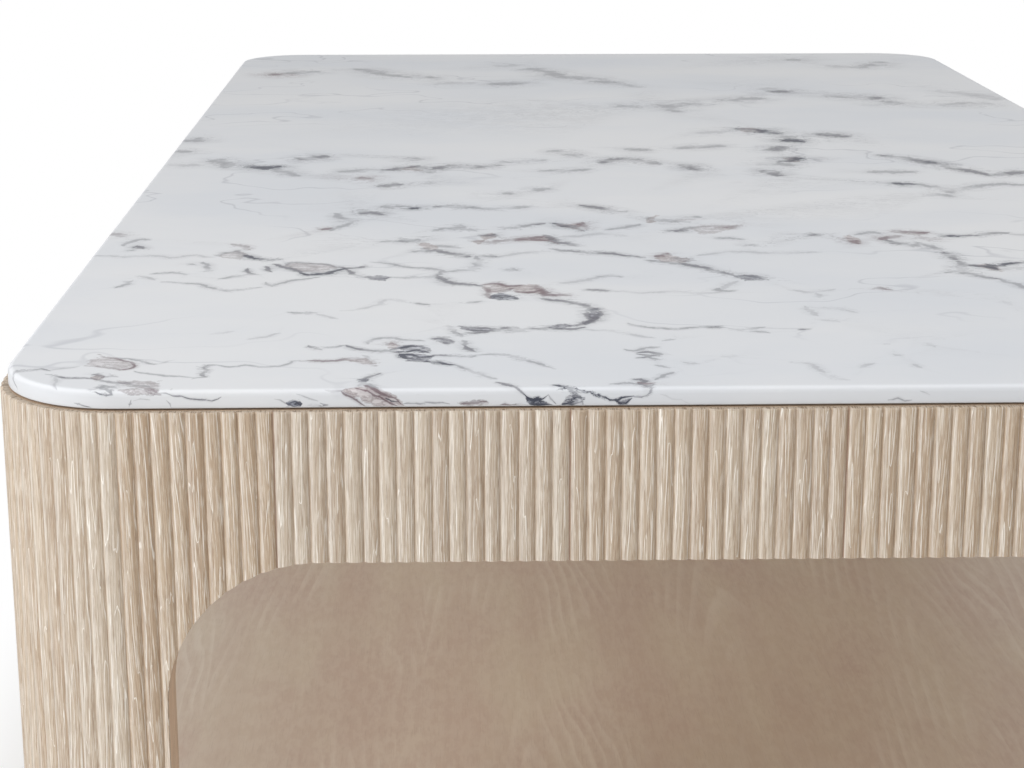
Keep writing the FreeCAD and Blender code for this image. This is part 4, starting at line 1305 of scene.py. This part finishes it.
SEEN_PATCHES = [
    ("beige", "87,365 95,358 110,357 128,361 135,366 125,370 108,368"),
    ("wine", "91,377 98,374 104,377 100,380 94,380"),
    ("beige", "118,381 150,381 160,385 157,391 150,394 145,388 125,386"),
    ("beige", "115,390 135,388 150,392 150,395 125,393"),
    ("slate", "286,403 297,401 302,404 300,407 290,407"),
    ("beige", "217,256 225,253 237,251 247,256 240,260 225,258"),
    ("beige", "285,266 291,263 305,263 325,264 336,267 325,272 305,272 297,270"),
    ("grey", "365,277 380,275 390,277 385,281 370,280"),
    ("wine", "421,242 430,243 438,246 436,250 424,249"),
    ("wine", "472,242 478,240 485,240 478,245"),
    ("wine", "515,239 530,238 548,236 556,240 540,241 522,240"),
    ("wine", "480,236 492,233 497,237 485,240"),
    ("wine", "655,258 668,252 672,256 690,259 685,262 665,262"),
    ("wine", "482,285 498,283 510,286 514,288 502,292 490,293 484,289"),
    ("wine", "513,286 530,284 538,285 543,291 545,294 528,293 515,292"),
    ("slate", "488,298 495,294 503,293 513,296 518,299 500,300"),
    ("grey", "588,310 598,308 600,315 594,321 586,325 582,323 590,318"),
    ("grey", "545,327 560,324 578,326 560,329"),
    ("grey", "458,326 475,327 495,330 475,332 462,330"),
    ("grey", "431,339 440,338 452,340 455,343 445,344 438,341"),
    ("wine", "387,345 392,342 400,346 396,349 388,348"),
    ("grey", "395,346 412,345 428,347 430,350 422,353 408,351 400,349"),
    ("grey", "400,354 420,354 432,357 425,362 408,361"),
    ("wine", "345,360 365,358 376,364 362,364"),
    ("grey", "357,379 366,378 366,382 358,382"),
    ("wine", "340,391 345,389 358,387 370,388 385,392 396,396 402,403 404,407 375,407 362,400 350,396"),
    ("beige", "458,403 470,402 486,401 492,404 480,406 465,406"),
    ("slate", "526,397 533,399 540,398 545,402 548,406 535,406 529,403"),
    ("grey", "565,398 574,393 581,396 583,405 572,407 562,404"),
    ("grey", "616,400 624,401 630,399 626,404 619,404"),
    ("wine", "556,224 570,224 582,224 583,231 575,229 562,227"),
    ("beige", "690,228 705,226 725,226 738,225 735,229 715,233 700,234"),
    ("grey", "735,276 745,275 760,277 768,280 745,281"),
    ("wine", "843,236 850,235 857,238 859,244 852,243 846,240"),
    ("beige", "890,232 915,231 928,233 920,236 905,234"),
    ("wine", "963,265 975,265 985,264 998,266 1002,272 985,268"),
    ("wine", "395,169 415,166 428,171 415,171"),
    ("wine", "647,218 656,215 656,222 648,223"),
    ("wine", "738,128 755,128 764,132 745,132"),
    ("wine", "782,158 798,157 800,162 786,162"),
]
print(len(SEEN_PATCHES), "patches")

# %% [markdown]
# A real vein is never smooth: it shakes at every scale. A curve through the places would look drawn
# with a pen. So every stretch between two places is split at its middle and the middle is pushed
# aside a little, again and again, which gives a crack-like line.

# %% From places to cracked lines
VEIN_STEP = 0.004
CRACK_SHARE = 0.11
MAX_HALF_WIDTH = 0.0125
PATCH_STEP = 0.0025
SIDE_SCALE = 1700.0
LEAST_SCALE = 80.0
SCALE_STEP = 0.001
TIP_SHARE = 0.25
VEIN_SEED = 21

# points on the sheet, half-width at each of them, strength and warmth
Vein = namedtuple("Vein", "points half_widths strength warmth")


def read_places(text):
    """Pairs of numbers from words such as 12,34."""
    return [tuple(float(v) for v in pair.split(",")) for pair in text.split()]


def cracked(points, dice, step=VEIN_STEP):
    """Splits the stretches of a line at pushed-aside middles until they are short."""
    line = [np.array(points[0])]
    for end in points[1:]:
        stack = [(line[-1], np.array(end))]
        while stack:
            start, stop = stack.pop()
            gap = stop - start
            length = float(np.hypot(*gap))
            if length <= step:
                line.append(stop)
                continue
            side = np.array([-gap[1], gap[0]])
            centre = (start + stop) / 2 + side * dice.uniform(-CRACK_SHARE, CRACK_SHARE)
            stack.append((centre, stop))
            stack.append((start, centre))
    return np.array(line)


def depth_scale(sheet):
    """How many pixels one metre towards the back, or up the side, takes up at those points."""
    ahead = seen_at(sheet + [0, SCALE_STEP])
    scale = np.abs(ahead - seen_at(sheet))[:, 1] / SCALE_STEP
    on_side = from_core(sheet)[2] > FLAT_RADIUS + BEND_LENGTH / 2
    return np.maximum(scale, np.where(on_side, SIDE_SCALE, LEAST_SCALE))


def tapered(count, widest):
    """Half-widths that thin out towards both ends."""
    share = np.linspace(0, 1, count)
    return widest * (TIP_SHARE + (1 - TIP_SHARE) * np.sqrt(np.clip(4 * share * (1 - share), 0, 1)))


vein_dice = random.Random(VEIN_SEED)
veins = []
for area, rows in SEEN_VEINS.items():
    for kind, thickness, text in rows:
        strength, warmth = VEIN_KINDS[kind]
        sheet_points = sheet_from_pixels(read_places(text))
        line = onto_sheet(cracked(sheet_points, vein_dice))
        half_pixels = 0.5 * thickness * AREA_WIDTHS[area]
        widest = np.minimum(half_pixels / depth_scale(line), MAX_HALF_WIDTH)
        widest[1:-1] = (widest[:-2] + widest[1:-1] + widest[2:]) / 3
        veins.append(Vein(line, tapered(len(line), widest), strength, warmth))
print(len(veins), "veins with", sum(len(vein.points) for vein in veins), "points")

# %% [markdown]
# The right side of the slab is outside the picture. There the veins are made up in the same manner:
# clusters of short strands that mostly run across the table, with long thin lines between them.

# %% Veins out of view
HIDDEN_SEED = 5
PICTURE_MARGIN = 4
WANDER_STEP = 0.02
WANDER_TURN = 0.5
WANDER_ALONG = 0.8

HIDDEN_CLUSTERS = 9
CLUSTER_X, CLUSTER_Y = (0.1, 0.37), (-0.69, 0.25)
CLUSTER_SPREAD_X, CLUSTER_SPREAD_Y = 0.025, 0.02
STRANDS_PER_CLUSTER = 7
STRAND_KINDS = ["clear", "dark", "wine", "soft", "wine"]
STRAND_HEADING = 0.4
STRAND_LENGTH = (0.03, 0.12)
STRAND_HALF_WIDTH = (0.0008, 0.0024)

LONG_LINES = 16
LINE_X, LINE_Y = (0.0, 0.36), (-0.7, 0.4)
LINE_KINDS = ["faint", "soft", "soft"]
LINE_HEADING = 0.5
LINE_LENGTH = (0.1, 0.35)
LINE_HALF_WIDTH = (0.0007, 0.0014)


def wandering_line(start, heading, length, dice):
    """A line that starts somewhere and keeps turning a little."""
    points = [np.array(start)]
    for _ in range(max(int(length / WANDER_STEP), 2)):
        heading += dice.uniform(-WANDER_TURN, WANDER_TURN)
        way = np.array([math.cos(heading), WANDER_ALONG * math.sin(heading)])
        points.append(points[-1] + WANDER_STEP * way)
    return cracked(points, dice)


def add_hidden(start, heading, length, kind, half_width, dice):
    """Keeps the part of a made-up vein that is on the slab and out of view."""
    line = wandering_line(start, heading, length, dice)
    on_stone = (np.abs(line[:, 0]) < stone_high.x) & (np.abs(line[:, 1]) < stone_high.y)
    inside = on_stone & (seen_at(line)[:, 0] > IMAGE_WIDTH + PICTURE_MARGIN)
    keep = line[: int(np.argmin(inside))] if not inside.all() else line
    if len(keep) > 3:
        strength, warmth = VEIN_KINDS[kind]
        veins.append(Vein(keep, tapered(len(keep), half_width), strength, warmth))


seen_count = len(veins)
hidden_dice = random.Random(HIDDEN_SEED)
for _ in range(HIDDEN_CLUSTERS):
    x = hidden_dice.uniform(*CLUSTER_X)
    y = hidden_dice.uniform(*CLUSTER_Y)
    for _ in range(STRANDS_PER_CLUSTER):
        start_x = x + hidden_dice.gauss(0, CLUSTER_SPREAD_X)
        start_y = y + hidden_dice.gauss(0, CLUSTER_SPREAD_Y)
        kind = hidden_dice.choice(STRAND_KINDS)
        heading = hidden_dice.gauss(0, STRAND_HEADING)
        length = hidden_dice.uniform(*STRAND_LENGTH)
        half_width = hidden_dice.uniform(*STRAND_HALF_WIDTH)
        add_hidden((start_x, start_y), heading, length, kind, half_width, hidden_dice)
for _ in range(LONG_LINES):
    start_x = hidden_dice.uniform(*LINE_X)
    start_y = hidden_dice.uniform(*LINE_Y)
    heading = hidden_dice.gauss(0, LINE_HEADING)
    length = hidden_dice.uniform(*LINE_LENGTH)
    kind = hidden_dice.choice(LINE_KINDS)
    half_width = hidden_dice.uniform(*LINE_HALF_WIDTH)
    add_hidden((start_x, start_y), heading, length, kind, half_width, hidden_dice)
print(len(veins) - seen_count, "made-up veins")

# %% [markdown]
# The sheet is cut into triangles whose edges follow every vein: its middle line and lines beside it.
# Blender's Delaunay tool does this. The triangles are small only where a vein needs them, so the
# slab stays light, and a number kept on each corner says how far the nearest vein is.

# %% Triangles that follow the veins
HALO = 4.0
OFFSETS = (0.0, 1.0, -1.0, 2.0, -2.0, HALO, -HALO)
END_REACHES = (1.0, 2.0, HALO)
STRAIGHT_STEP = 0.05
BEND_STEPS = 6
LOWER_STEPS = 4
PATCH_RINGS = (0.72, 1.0, 1.25)
SHORTEST = 1e-9
DRAWING_ERROR = 1e-7

inputs, joins = [], []


def draw(points, closed=False):
    """Adds a line to what the triangles have to follow, and gives the number of its first point."""
    first, count = len(inputs), len(points)
    inputs.extend(map(tuple, points))
    joins.extend((first + k, first + (k + 1) % count) for k in range(count if closed else count - 1))
    return first


def rim_loop(radius):
    """A closed line at that distance from the core of the sheet."""
    points = []
    arcs = corner_arcs(CORE_X, CORE_Y, radius)
    for arc, following in zip(arcs, arcs[1:] + arcs[:1]):
        points.extend(arc)
        begin, stop = np.array(arc[-1]), np.array(following[0])
        steps = max(int(np.hypot(*(stop - begin)) / STRAIGHT_STEP), 2)
        points.extend(tuple(begin + (stop - begin) * k / steps) for k in range(1, steps))
    return points


def beside(vein, offset):
    """The line beside a vein at that many half-widths."""
    step = np.gradient(vein.points, axis=0)
    normal = np.column_stack([-step[:, 1], step[:, 0]])
    normal /= np.maximum(np.linalg.norm(normal, axis=1), SHORTEST)[:, None]
    return onto_sheet(vein.points + normal * (offset * vein.half_widths)[:, None])


def ahead_of_ends(vein):
    """Points past both ends of a vein, so that it doesn't fade out over one long triangle."""
    found = []
    for end, before in ((0, 1), (-1, -2)):
        ahead = vein.points[end] - vein.points[before]
        ahead = ahead / max(float(np.linalg.norm(ahead)), SHORTEST)
        found.extend(vein.points[end] + ahead * vein.half_widths[end] * reach for reach in END_REACHES)
    return onto_sheet(np.array(found))


upper_radii = [FLAT_RADIUS + BEND_LENGTH * k / BEND_STEPS for k in range(BEND_STEPS + 1)]
lower_radii = [SHEET_RADIUS - LOWER_LENGTH * (1 - k / LOWER_STEPS) for k in range(LOWER_STEPS + 1)]
for radius in upper_radii + lower_radii:
    loop = rim_loop(radius)
    rim_start, rim_count = draw(loop, closed=True), len(loop)
for vein in veins:
    for offset in OFFSETS:
        draw(beside(vein, offset))
    inputs.extend(map(tuple, ahead_of_ends(vein)))

patches = []
for kind, text in SEEN_PATCHES:
    outline = np.array(read_places(text))
    centre = outline.mean(axis=0)
    for share in PATCH_RINGS:
        ring = onto_sheet(sheet_from_pixels(centre + (outline - centre) * share))
        ring = onto_sheet(cracked(list(ring) + [ring[0]], vein_dice, step=PATCH_STEP)[:-1])
        draw(ring, closed=True)
        if share == 1.0:
            strength, warmth = PATCH_KINDS[kind]
            patches.append((ring, strength, warmth))

drawing = [Vector(point) for point in inputs]
flat_points, _, triangles, sources, _, _ = delaunay_2d_cdt(drawing, joins, [], 0, DRAWING_ERROR)
sheet = np.array([tuple(p) for p in flat_points])
print(len(sheet), "points and", len(triangles), "triangles on the sheet")

# %% [markdown]
# Each corner of the sheet is now told about the nearest vein: the distance in half-widths, the
# strength and the warmth. Patches are told in the same way: how deep inside a patch the corner lies.

# %% What each corner knows
CHUNK = 4000
STRENGTH_BONUS = 0.35
SOFT_SHARE = 0.12
LEAST_SOFTNESS = 0.001


def to_stretches(points, starts, gaps):
    """From each point to each straight stretch: the distance, and the share along the stretch."""
    squares = np.maximum((gaps ** 2).sum(axis=1), NOT_ZERO)
    part = points[:, None, :] - starts[None, :, :]
    share = np.clip((part * gaps).sum(axis=2) / squares, 0, 1)
    return np.linalg.norm(part - share[:, :, None] * gaps, axis=2), share


def nearest_vein(points):
    """Distance in half-widths, strength and warmth of the vein that counts most at each point."""
    starts = np.concatenate([vein.points[:-1] for vein in veins])
    ends = np.concatenate([vein.points[1:] for vein in veins])
    start_widths = np.concatenate([vein.half_widths[:-1] for vein in veins])
    end_widths = np.concatenate([vein.half_widths[1:] for vein in veins])
    owners = np.concatenate([np.full(len(vein.points) - 1, k) for k, vein in enumerate(veins)])
    strengths = np.array([vein.strength for vein in veins])[owners]
    warmths = np.array([vein.warmth for vein in veins])[owners]
    told = np.zeros((len(points), 3))
    for k in range(0, len(points), CHUNK):
        distance, share = to_stretches(points[k:k + CHUNK], starts, ends - starts)
        ratio = distance / (start_widths + share * (end_widths - start_widths))
        weight = ratio - STRENGTH_BONUS * strengths
        best = weight.argmin(axis=1)
        rows = np.arange(len(best))
        told[k:k + CHUNK, 0] = np.minimum(ratio[rows, best], HALO) / HALO
        told[k:k + CHUNK, 1] = strengths[best]
        told[k:k + CHUNK, 2] = warmths[best]
    return told


def inside_patches(points):
    """Depth inside a patch from 0 to 1, strength and warmth, at each point."""
    told = np.zeros((len(points), 3))
    for ring, strength, warmth in patches:
        reach = np.ptp(ring, axis=0)
        centre = (ring.max(axis=0) + ring.min(axis=0)) / 2
        near = np.nonzero((np.abs(points - centre) < reach).all(axis=1))[0]
        if not len(near):
            continue
        local = points[near]
        following = np.roll(ring, -1, axis=0)
        gaps = following - ring
        rise = np.where(gaps[:, 1] == 0, NOT_ZERO, gaps[:, 1])
        above = (ring[None, :, 1] > local[:, None, 1]) != (following[None, :, 1] > local[:, None, 1])
        crossing = ring[:, 0] + (local[:, None, 1] - ring[:, 1]) * gaps[:, 0] / rise
        within = (above & (local[:, None, 0] < crossing)).sum(axis=1) % 2 == 1
        distance = to_stretches(local, ring, gaps)[0].min(axis=1)
        softness = max(SOFT_SHARE * reach.min(), LEAST_SOFTNESS)
        depth = np.clip(0.5 + np.where(within, distance, -distance) / (2 * softness), 0, 1)
        stronger = depth * strength > told[near, 0] * told[near, 1]
        told[near[stronger], 0] = depth[stronger]
        told[near[stronger], 1:] = (strength, warmth)
    return told


vein_facts = nearest_vein(sheet)
patch_facts = inside_patches(sheet)
print("corners within a vein:", int((vein_facts[:, 0] * HALO < 1).sum()))

# %% [markdown]
# The bent sheet and a flat underside make a closed slab. Its normals are given to it: they are known
# exactly from the bend, and long thin triangles would otherwise shade badly.

# %% The slab
RIM_LIFT = 0.00002


def build_slab(material):
    points, normals = bend_over_edge(sheet)
    found = {source: k for k, group in enumerate(sources) for source in group}
    rim = [found[rim_start + k] for k in range(rim_count)]
    lower = points[rim]
    lower[:, 2] = stone_low.z
    points[rim, 2] = stone_low.z + RIM_LIFT
    base = len(points)
    faces = [list(face) for face in triangles]
    top_count = len(faces)
    for k in range(rim_count):
        after = (k + 1) % rim_count
        faces.append([rim[k], base + k, base + after, rim[after]])
    faces.append([base + k for k in reversed(range(rim_count))])
    mesh = bpy.data.meshes.new("marble_slab")
    mesh.from_pydata(np.concatenate([points, lower]).tolist(), [], faces)
    no_vein = np.tile([1.0, 0.0, 0.0], (rim_count, 1))
    no_patch = np.zeros((rim_count, 3))
    for name, facts, rest in (("vein", vein_facts, no_vein), ("patch", patch_facts, no_patch)):
        values = np.ones((len(mesh.vertices), 4), np.float32)
        values[:, :3] = np.concatenate([facts, rest])
        layer = mesh.attributes.new(name, "FLOAT_COLOR", "POINT")
        layer.data.foreach_set("color", values.ravel())
    mesh.materials.append(material)
    mesh.shade_smooth()
    loops = []
    for number, polygon in enumerate(mesh.polygons):
        if number < top_count:
            loops.extend(tuple(normals[v]) for v in polygon.vertices)
        else:
            loops.extend(tuple(polygon.normal) for _ in polygon.vertices)
    mesh.normals_split_custom_set(loops)
    return put_in_scene("marble_slab", mesh)


# %% [markdown]
# The stone is a cool white with slow clouds. The shader roughens the distance that each corner knows
# with noise, so that a vein breaks up, thickens and thins. Cracks run beside it in a grey mist, a net
# of cracks fills the stained patches, and hairlines cross the rest. The finish is honed, not glassy.

# %% Material: veined marble
WHITE_STONE, CLOUDED_STONE = rgb(226, 227, 229), rgb(217, 220, 225)
SHADED_EDGE = rgb(227, 227, 227)
HAIRLINE_GREY = rgb(158, 160, 169)
SLATE_VEIN, BURGUNDY_VEIN = rgb(72, 75, 87), rgb(107, 88, 94)
COOL_STAIN, WARM_STAIN = rgb(156, 161, 175), rgb(197, 184, 182)
COOL_CRACK, WARM_CRACK = rgb(58, 60, 70), rgb(104, 86, 86)
CRACK_BEND = (0.012, 0.012, 0.012)
HAIRLINE_BEND = (0.05, 0.05, 0.05)
# the vein's own reach, in half-widths: where its core and its mist begin, and where they are full
CORE_START, CORE_FULL = 1.6, 0.35
MIST_START, MIST_FULL = 3.7, 0.8
CORE_CRUMBLE, STAIN_CRUMBLE = 3.0, 1.8
STRAND_AMOUNT, MIST_AMOUNT = 0.65, 0.30

crack_lines, w, given, result = new_group(
    "crack_lines",
    [("Place", VECTOR, None), ("Scale", FLOAT, 90.0), ("Width", FLOAT, 0.04)],
    [("Lines", FLOAT), ("Field", FLOAT)])
bend = w.add("ShaderNodeTexNoise", {"Vector": given["Place"], "Scale": 40.0}).outputs[1]
bent = w.moved(given["Place"], w.stretched(bend, CRACK_BEND))
field = w.noise(bent, scale=given["Scale"], detail=5.0, roughness=0.62)
w.feed(result["Lines"], w.between(w.maths("ABSOLUTE", w.minus(field, 0.5)), given["Width"], 0.0))
w.feed(result["Field"], field)
tell(crack_lines, crack_lines)


def marble_material():
    material, w, shader = new_material("veined_marble")
    place = w.place()
    vein = w.add("ShaderNodeSeparateColor", {0: w.attribute("vein").outputs["Color"]}).outputs
    patch = w.add("ShaderNodeSeparateColor", {0: w.attribute("patch").outputs["Color"]}).outputs
    ratio = w.times(vein[0], HALO)
    crumble = w.minus(w.noise(place, scale=260.0, detail=4.0, roughness=0.65), 0.5)
    pulse = w.noise(place, scale=48.0, detail=3.0)
    drawn_out = w.stretched(place, (0.6, 1.25, 1.25))
    cracks = w.use(crack_lines, {"Place": drawn_out, "Scale": 95.0, "Width": 0.035})
    elsewhere = w.moved(drawn_out, (0.4, 0.1, 0))
    fine_cracks = w.use(crack_lines, {"Place": elsewhere, "Scale": 170.0, "Width": 0.06})

    core = w.between(w.plus(ratio, w.times(crumble, CORE_CRUMBLE)), CORE_START, CORE_FULL)
    core = w.times(core, w.between(pulse, 0.34, 0.58, 0.30, 1.0))
    near = w.between(ratio, MIST_START, MIST_FULL)
    strands = w.times(w.times(cracks["Lines"], near), STRAND_AMOUNT)
    mist = w.times(w.times(near, w.between(pulse, 0.3, 0.7)), MIST_AMOUNT)
    amount = w.larger(w.larger(core, strands), mist)
    amount = w.times(amount, vein[1], clamped=True)

    drift = w.add("ShaderNodeTexNoise", {"Vector": place, "Scale": 14.0}).outputs[1]
    warped = w.moved(place, w.stretched(drift, HAIRLINE_BEND))
    web_field = w.noise(w.stretched(warped, (7, 11, 9)), detail=2.5)
    off_web = w.maths("ABSOLUTE", w.minus(web_field, 0.5))
    web = w.times(w.between(off_web, 0.010, 0.0), w.between(w.noise(place, scale=6.0), 0.44, 0.62))
    clouds = w.noise(w.stretched(warped, (3, 5, 4)), detail=4.0)

    stone = w.mix(w.between(clouds, 0.35, 0.7), WHITE_STONE, CLOUDED_STONE)
    stone = w.tint(stone, HAIRLINE_GREY, web, 0.36)
    stain = w.mix(patch[2], COOL_STAIN, WARM_STAIN)
    stain_dark = w.mix(patch[2], COOL_CRACK, WARM_CRACK)
    edge = w.plus(patch[0], w.times(crumble, STAIN_CRUMBLE))
    patch_share = w.times(w.between(edge, 0.25, 0.75), patch[1])
    stone = w.tint(stone, stain, patch_share, w.between(pulse, 0.3, 0.6, 0.5, 1.0))
    smoke = w.between(fine_cracks["Field"], 0.50, 0.64)
    net = w.larger(w.times(fine_cracks["Lines"], 0.95), smoke)
    rim = w.times(w.between(edge, 0.30, 0.5), w.between(edge, 0.72, 0.5))
    net = w.larger(net, w.times(rim, w.between(pulse, 0.46, 0.60, 0.0, 0.45)))
    stone = w.tint(stone, stain_dark, w.times(net, patch[1]), w.between(edge, 0.3, 0.5))
    line = w.mix(vein[2], SLATE_VEIN, BURGUNDY_VEIN)
    stone = w.tint(stone, line, amount, 0.96)
    upright = w.split(w.add("ShaderNodeNewGeometry").outputs["Normal"])[2]
    # painted shade: the rounded edge and the side of the slab are darkened, the more the steeper they stand
    stone = w.mix(w.between(upright, 0.97, 0.3), stone, SHADED_EDGE, way="MULTIPLY")
    finish = w.use(unevenness, {"Place": place, "Roughness": 0.42, "Spread": 0.12})
    normal = w.bump(w.minus(1.0, amount), 0.12, 0.00012)
    feed_shader(w, shader, stone, finish["Roughness"], normal, 0.05)
    tell(material, material.node_tree)
    return material


slab = build_slab(marble_material())
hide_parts("marble_top")
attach(slab, "stone_top")
print("the slab has", len(slab.data.vertices), "corners")

# %% [markdown]
# The room is a plain pale floor under a plain white sky. The camera, glossy reflections and glass see
# the floor as white a little way off from the casing, and the shadow stays close round its foot.

# %% Floor and sky
FLOOR_SIZE = 60.0
SHADOW_REACH = 0.18
SKY_STRENGTH = 0.44


def seen_directly(w):
    """1 where a ray comes from the camera, a glossy reflection or glass."""
    path = w.add("ShaderNodeLightPath").outputs
    first = w.larger(path["Is Camera Ray"], path["Is Glossy Ray"])
    return w.larger(first, path["Is Transmission Ray"])


def build_floor():
    material, w, shader = new_material("pale_floor")
    grit = w.noise(w.place(), scale=30.0, detail=3.0)
    w.feed(shader.inputs["Base Color"], w.mix(grit, rgb(236, 236, 235), rgb(242, 242, 241)))
    shader.inputs["Roughness"].default_value = 0.8
    shader.inputs["Specular IOR Level"].default_value = 0.1
    x, y, _ = w.split(w.place())
    out_x = w.larger(w.minus(w.maths("ABSOLUTE", x), HALF_WIDTH), 0.0)
    out_y = w.larger(w.minus(w.maths("ABSOLUTE", y), HALF_LENGTH), 0.0)
    away = w.slant(out_x, out_y)
    fade = w.between(away, 0.0, SHADOW_REACH)
    light = w.add("ShaderNodeEmission", {"Color": (1, 1, 1, 1), "Strength": 1.0}).outputs[0]
    share = w.times(fade, seen_directly(w))
    both = w.add("ShaderNodeMixShader", {0: share, 1: shader.outputs[0], 2: light}).outputs[0]
    output = next(node for node in w.tree.nodes if node.type == "OUTPUT_MATERIAL")
    w.feed(output.inputs["Surface"], both)
    mesh = bpy.data.meshes.new("floor")
    half = FLOOR_SIZE / 2
    corners = [(-half, -half, 0), (half, -half, 0), (half, half, 0), (-half, half, 0)]
    mesh.from_pydata(corners, [], [(0, 1, 2, 3)])
    mesh.materials.append(material)
    floor = put_in_scene("floor", mesh)


build_floor()

world = bpy.data.worlds.new("studio")
world.use_nodes = True
world.node_tree.nodes.clear()
w = Wiring(world.node_tree)
strength = w.plus(SKY_STRENGTH, w.times(seen_directly(w), 1.0 - SKY_STRENGTH))
sky = w.add("ShaderNodeBackground", {"Color": (1, 1, 1, 1), "Strength": strength})
w.add("ShaderNodeOutputWorld", {"Surface": sky.outputs[0]})
bpy.context.scene.world = world
print("the floor is white from", SHADOW_REACH, "m off the casing")

# %% [markdown]
# A large soft lamp stands to the upper left, in front of the table, and gives each reed a light left
# side and a darker right one. Weaker lamps stand overhead, in front, and low at the right, where the
# light goes through the side window and reaches the shelf. None stands behind, so the back of the
# table is darker than its front.

# %% Lamps
def soft_lamp(name, place, target, width, height, power):
    lamp = bpy.data.lights.new(name, "AREA")
    lamp.shape = "RECTANGLE"
    lamp.size, lamp.size_y = width, height
    lamp.energy = power
    holder = put_in_scene(name, lamp)
    holder.location = place
    holder.rotation_euler = (Vector(target) - Vector(place)).to_track_quat("-Z", "Y").to_euler()
    print(name, power, "W")


soft_lamp("key_lamp", (-2.45, -2.0, 1.5), (0.0, -0.5, 0.3), 1.3, 1.6, 57.0)
soft_lamp("top_lamp", (0.2, -1.5, 2.8), (0.0, -0.8, 0.4), 2.4, 2.4, 13.5)
soft_lamp("front_lamp", (-0.9, -3.9, 1.25), (0.0, -0.6, 0.2), 2.0, 1.2, 26.0)
soft_lamp("right_lamp", (3.0, -0.4, 0.95), (0.0, -0.3, 0.1), 1.8, 1.0, 35.0)
bpy.context.scene.view_settings.view_transform = "Standard"
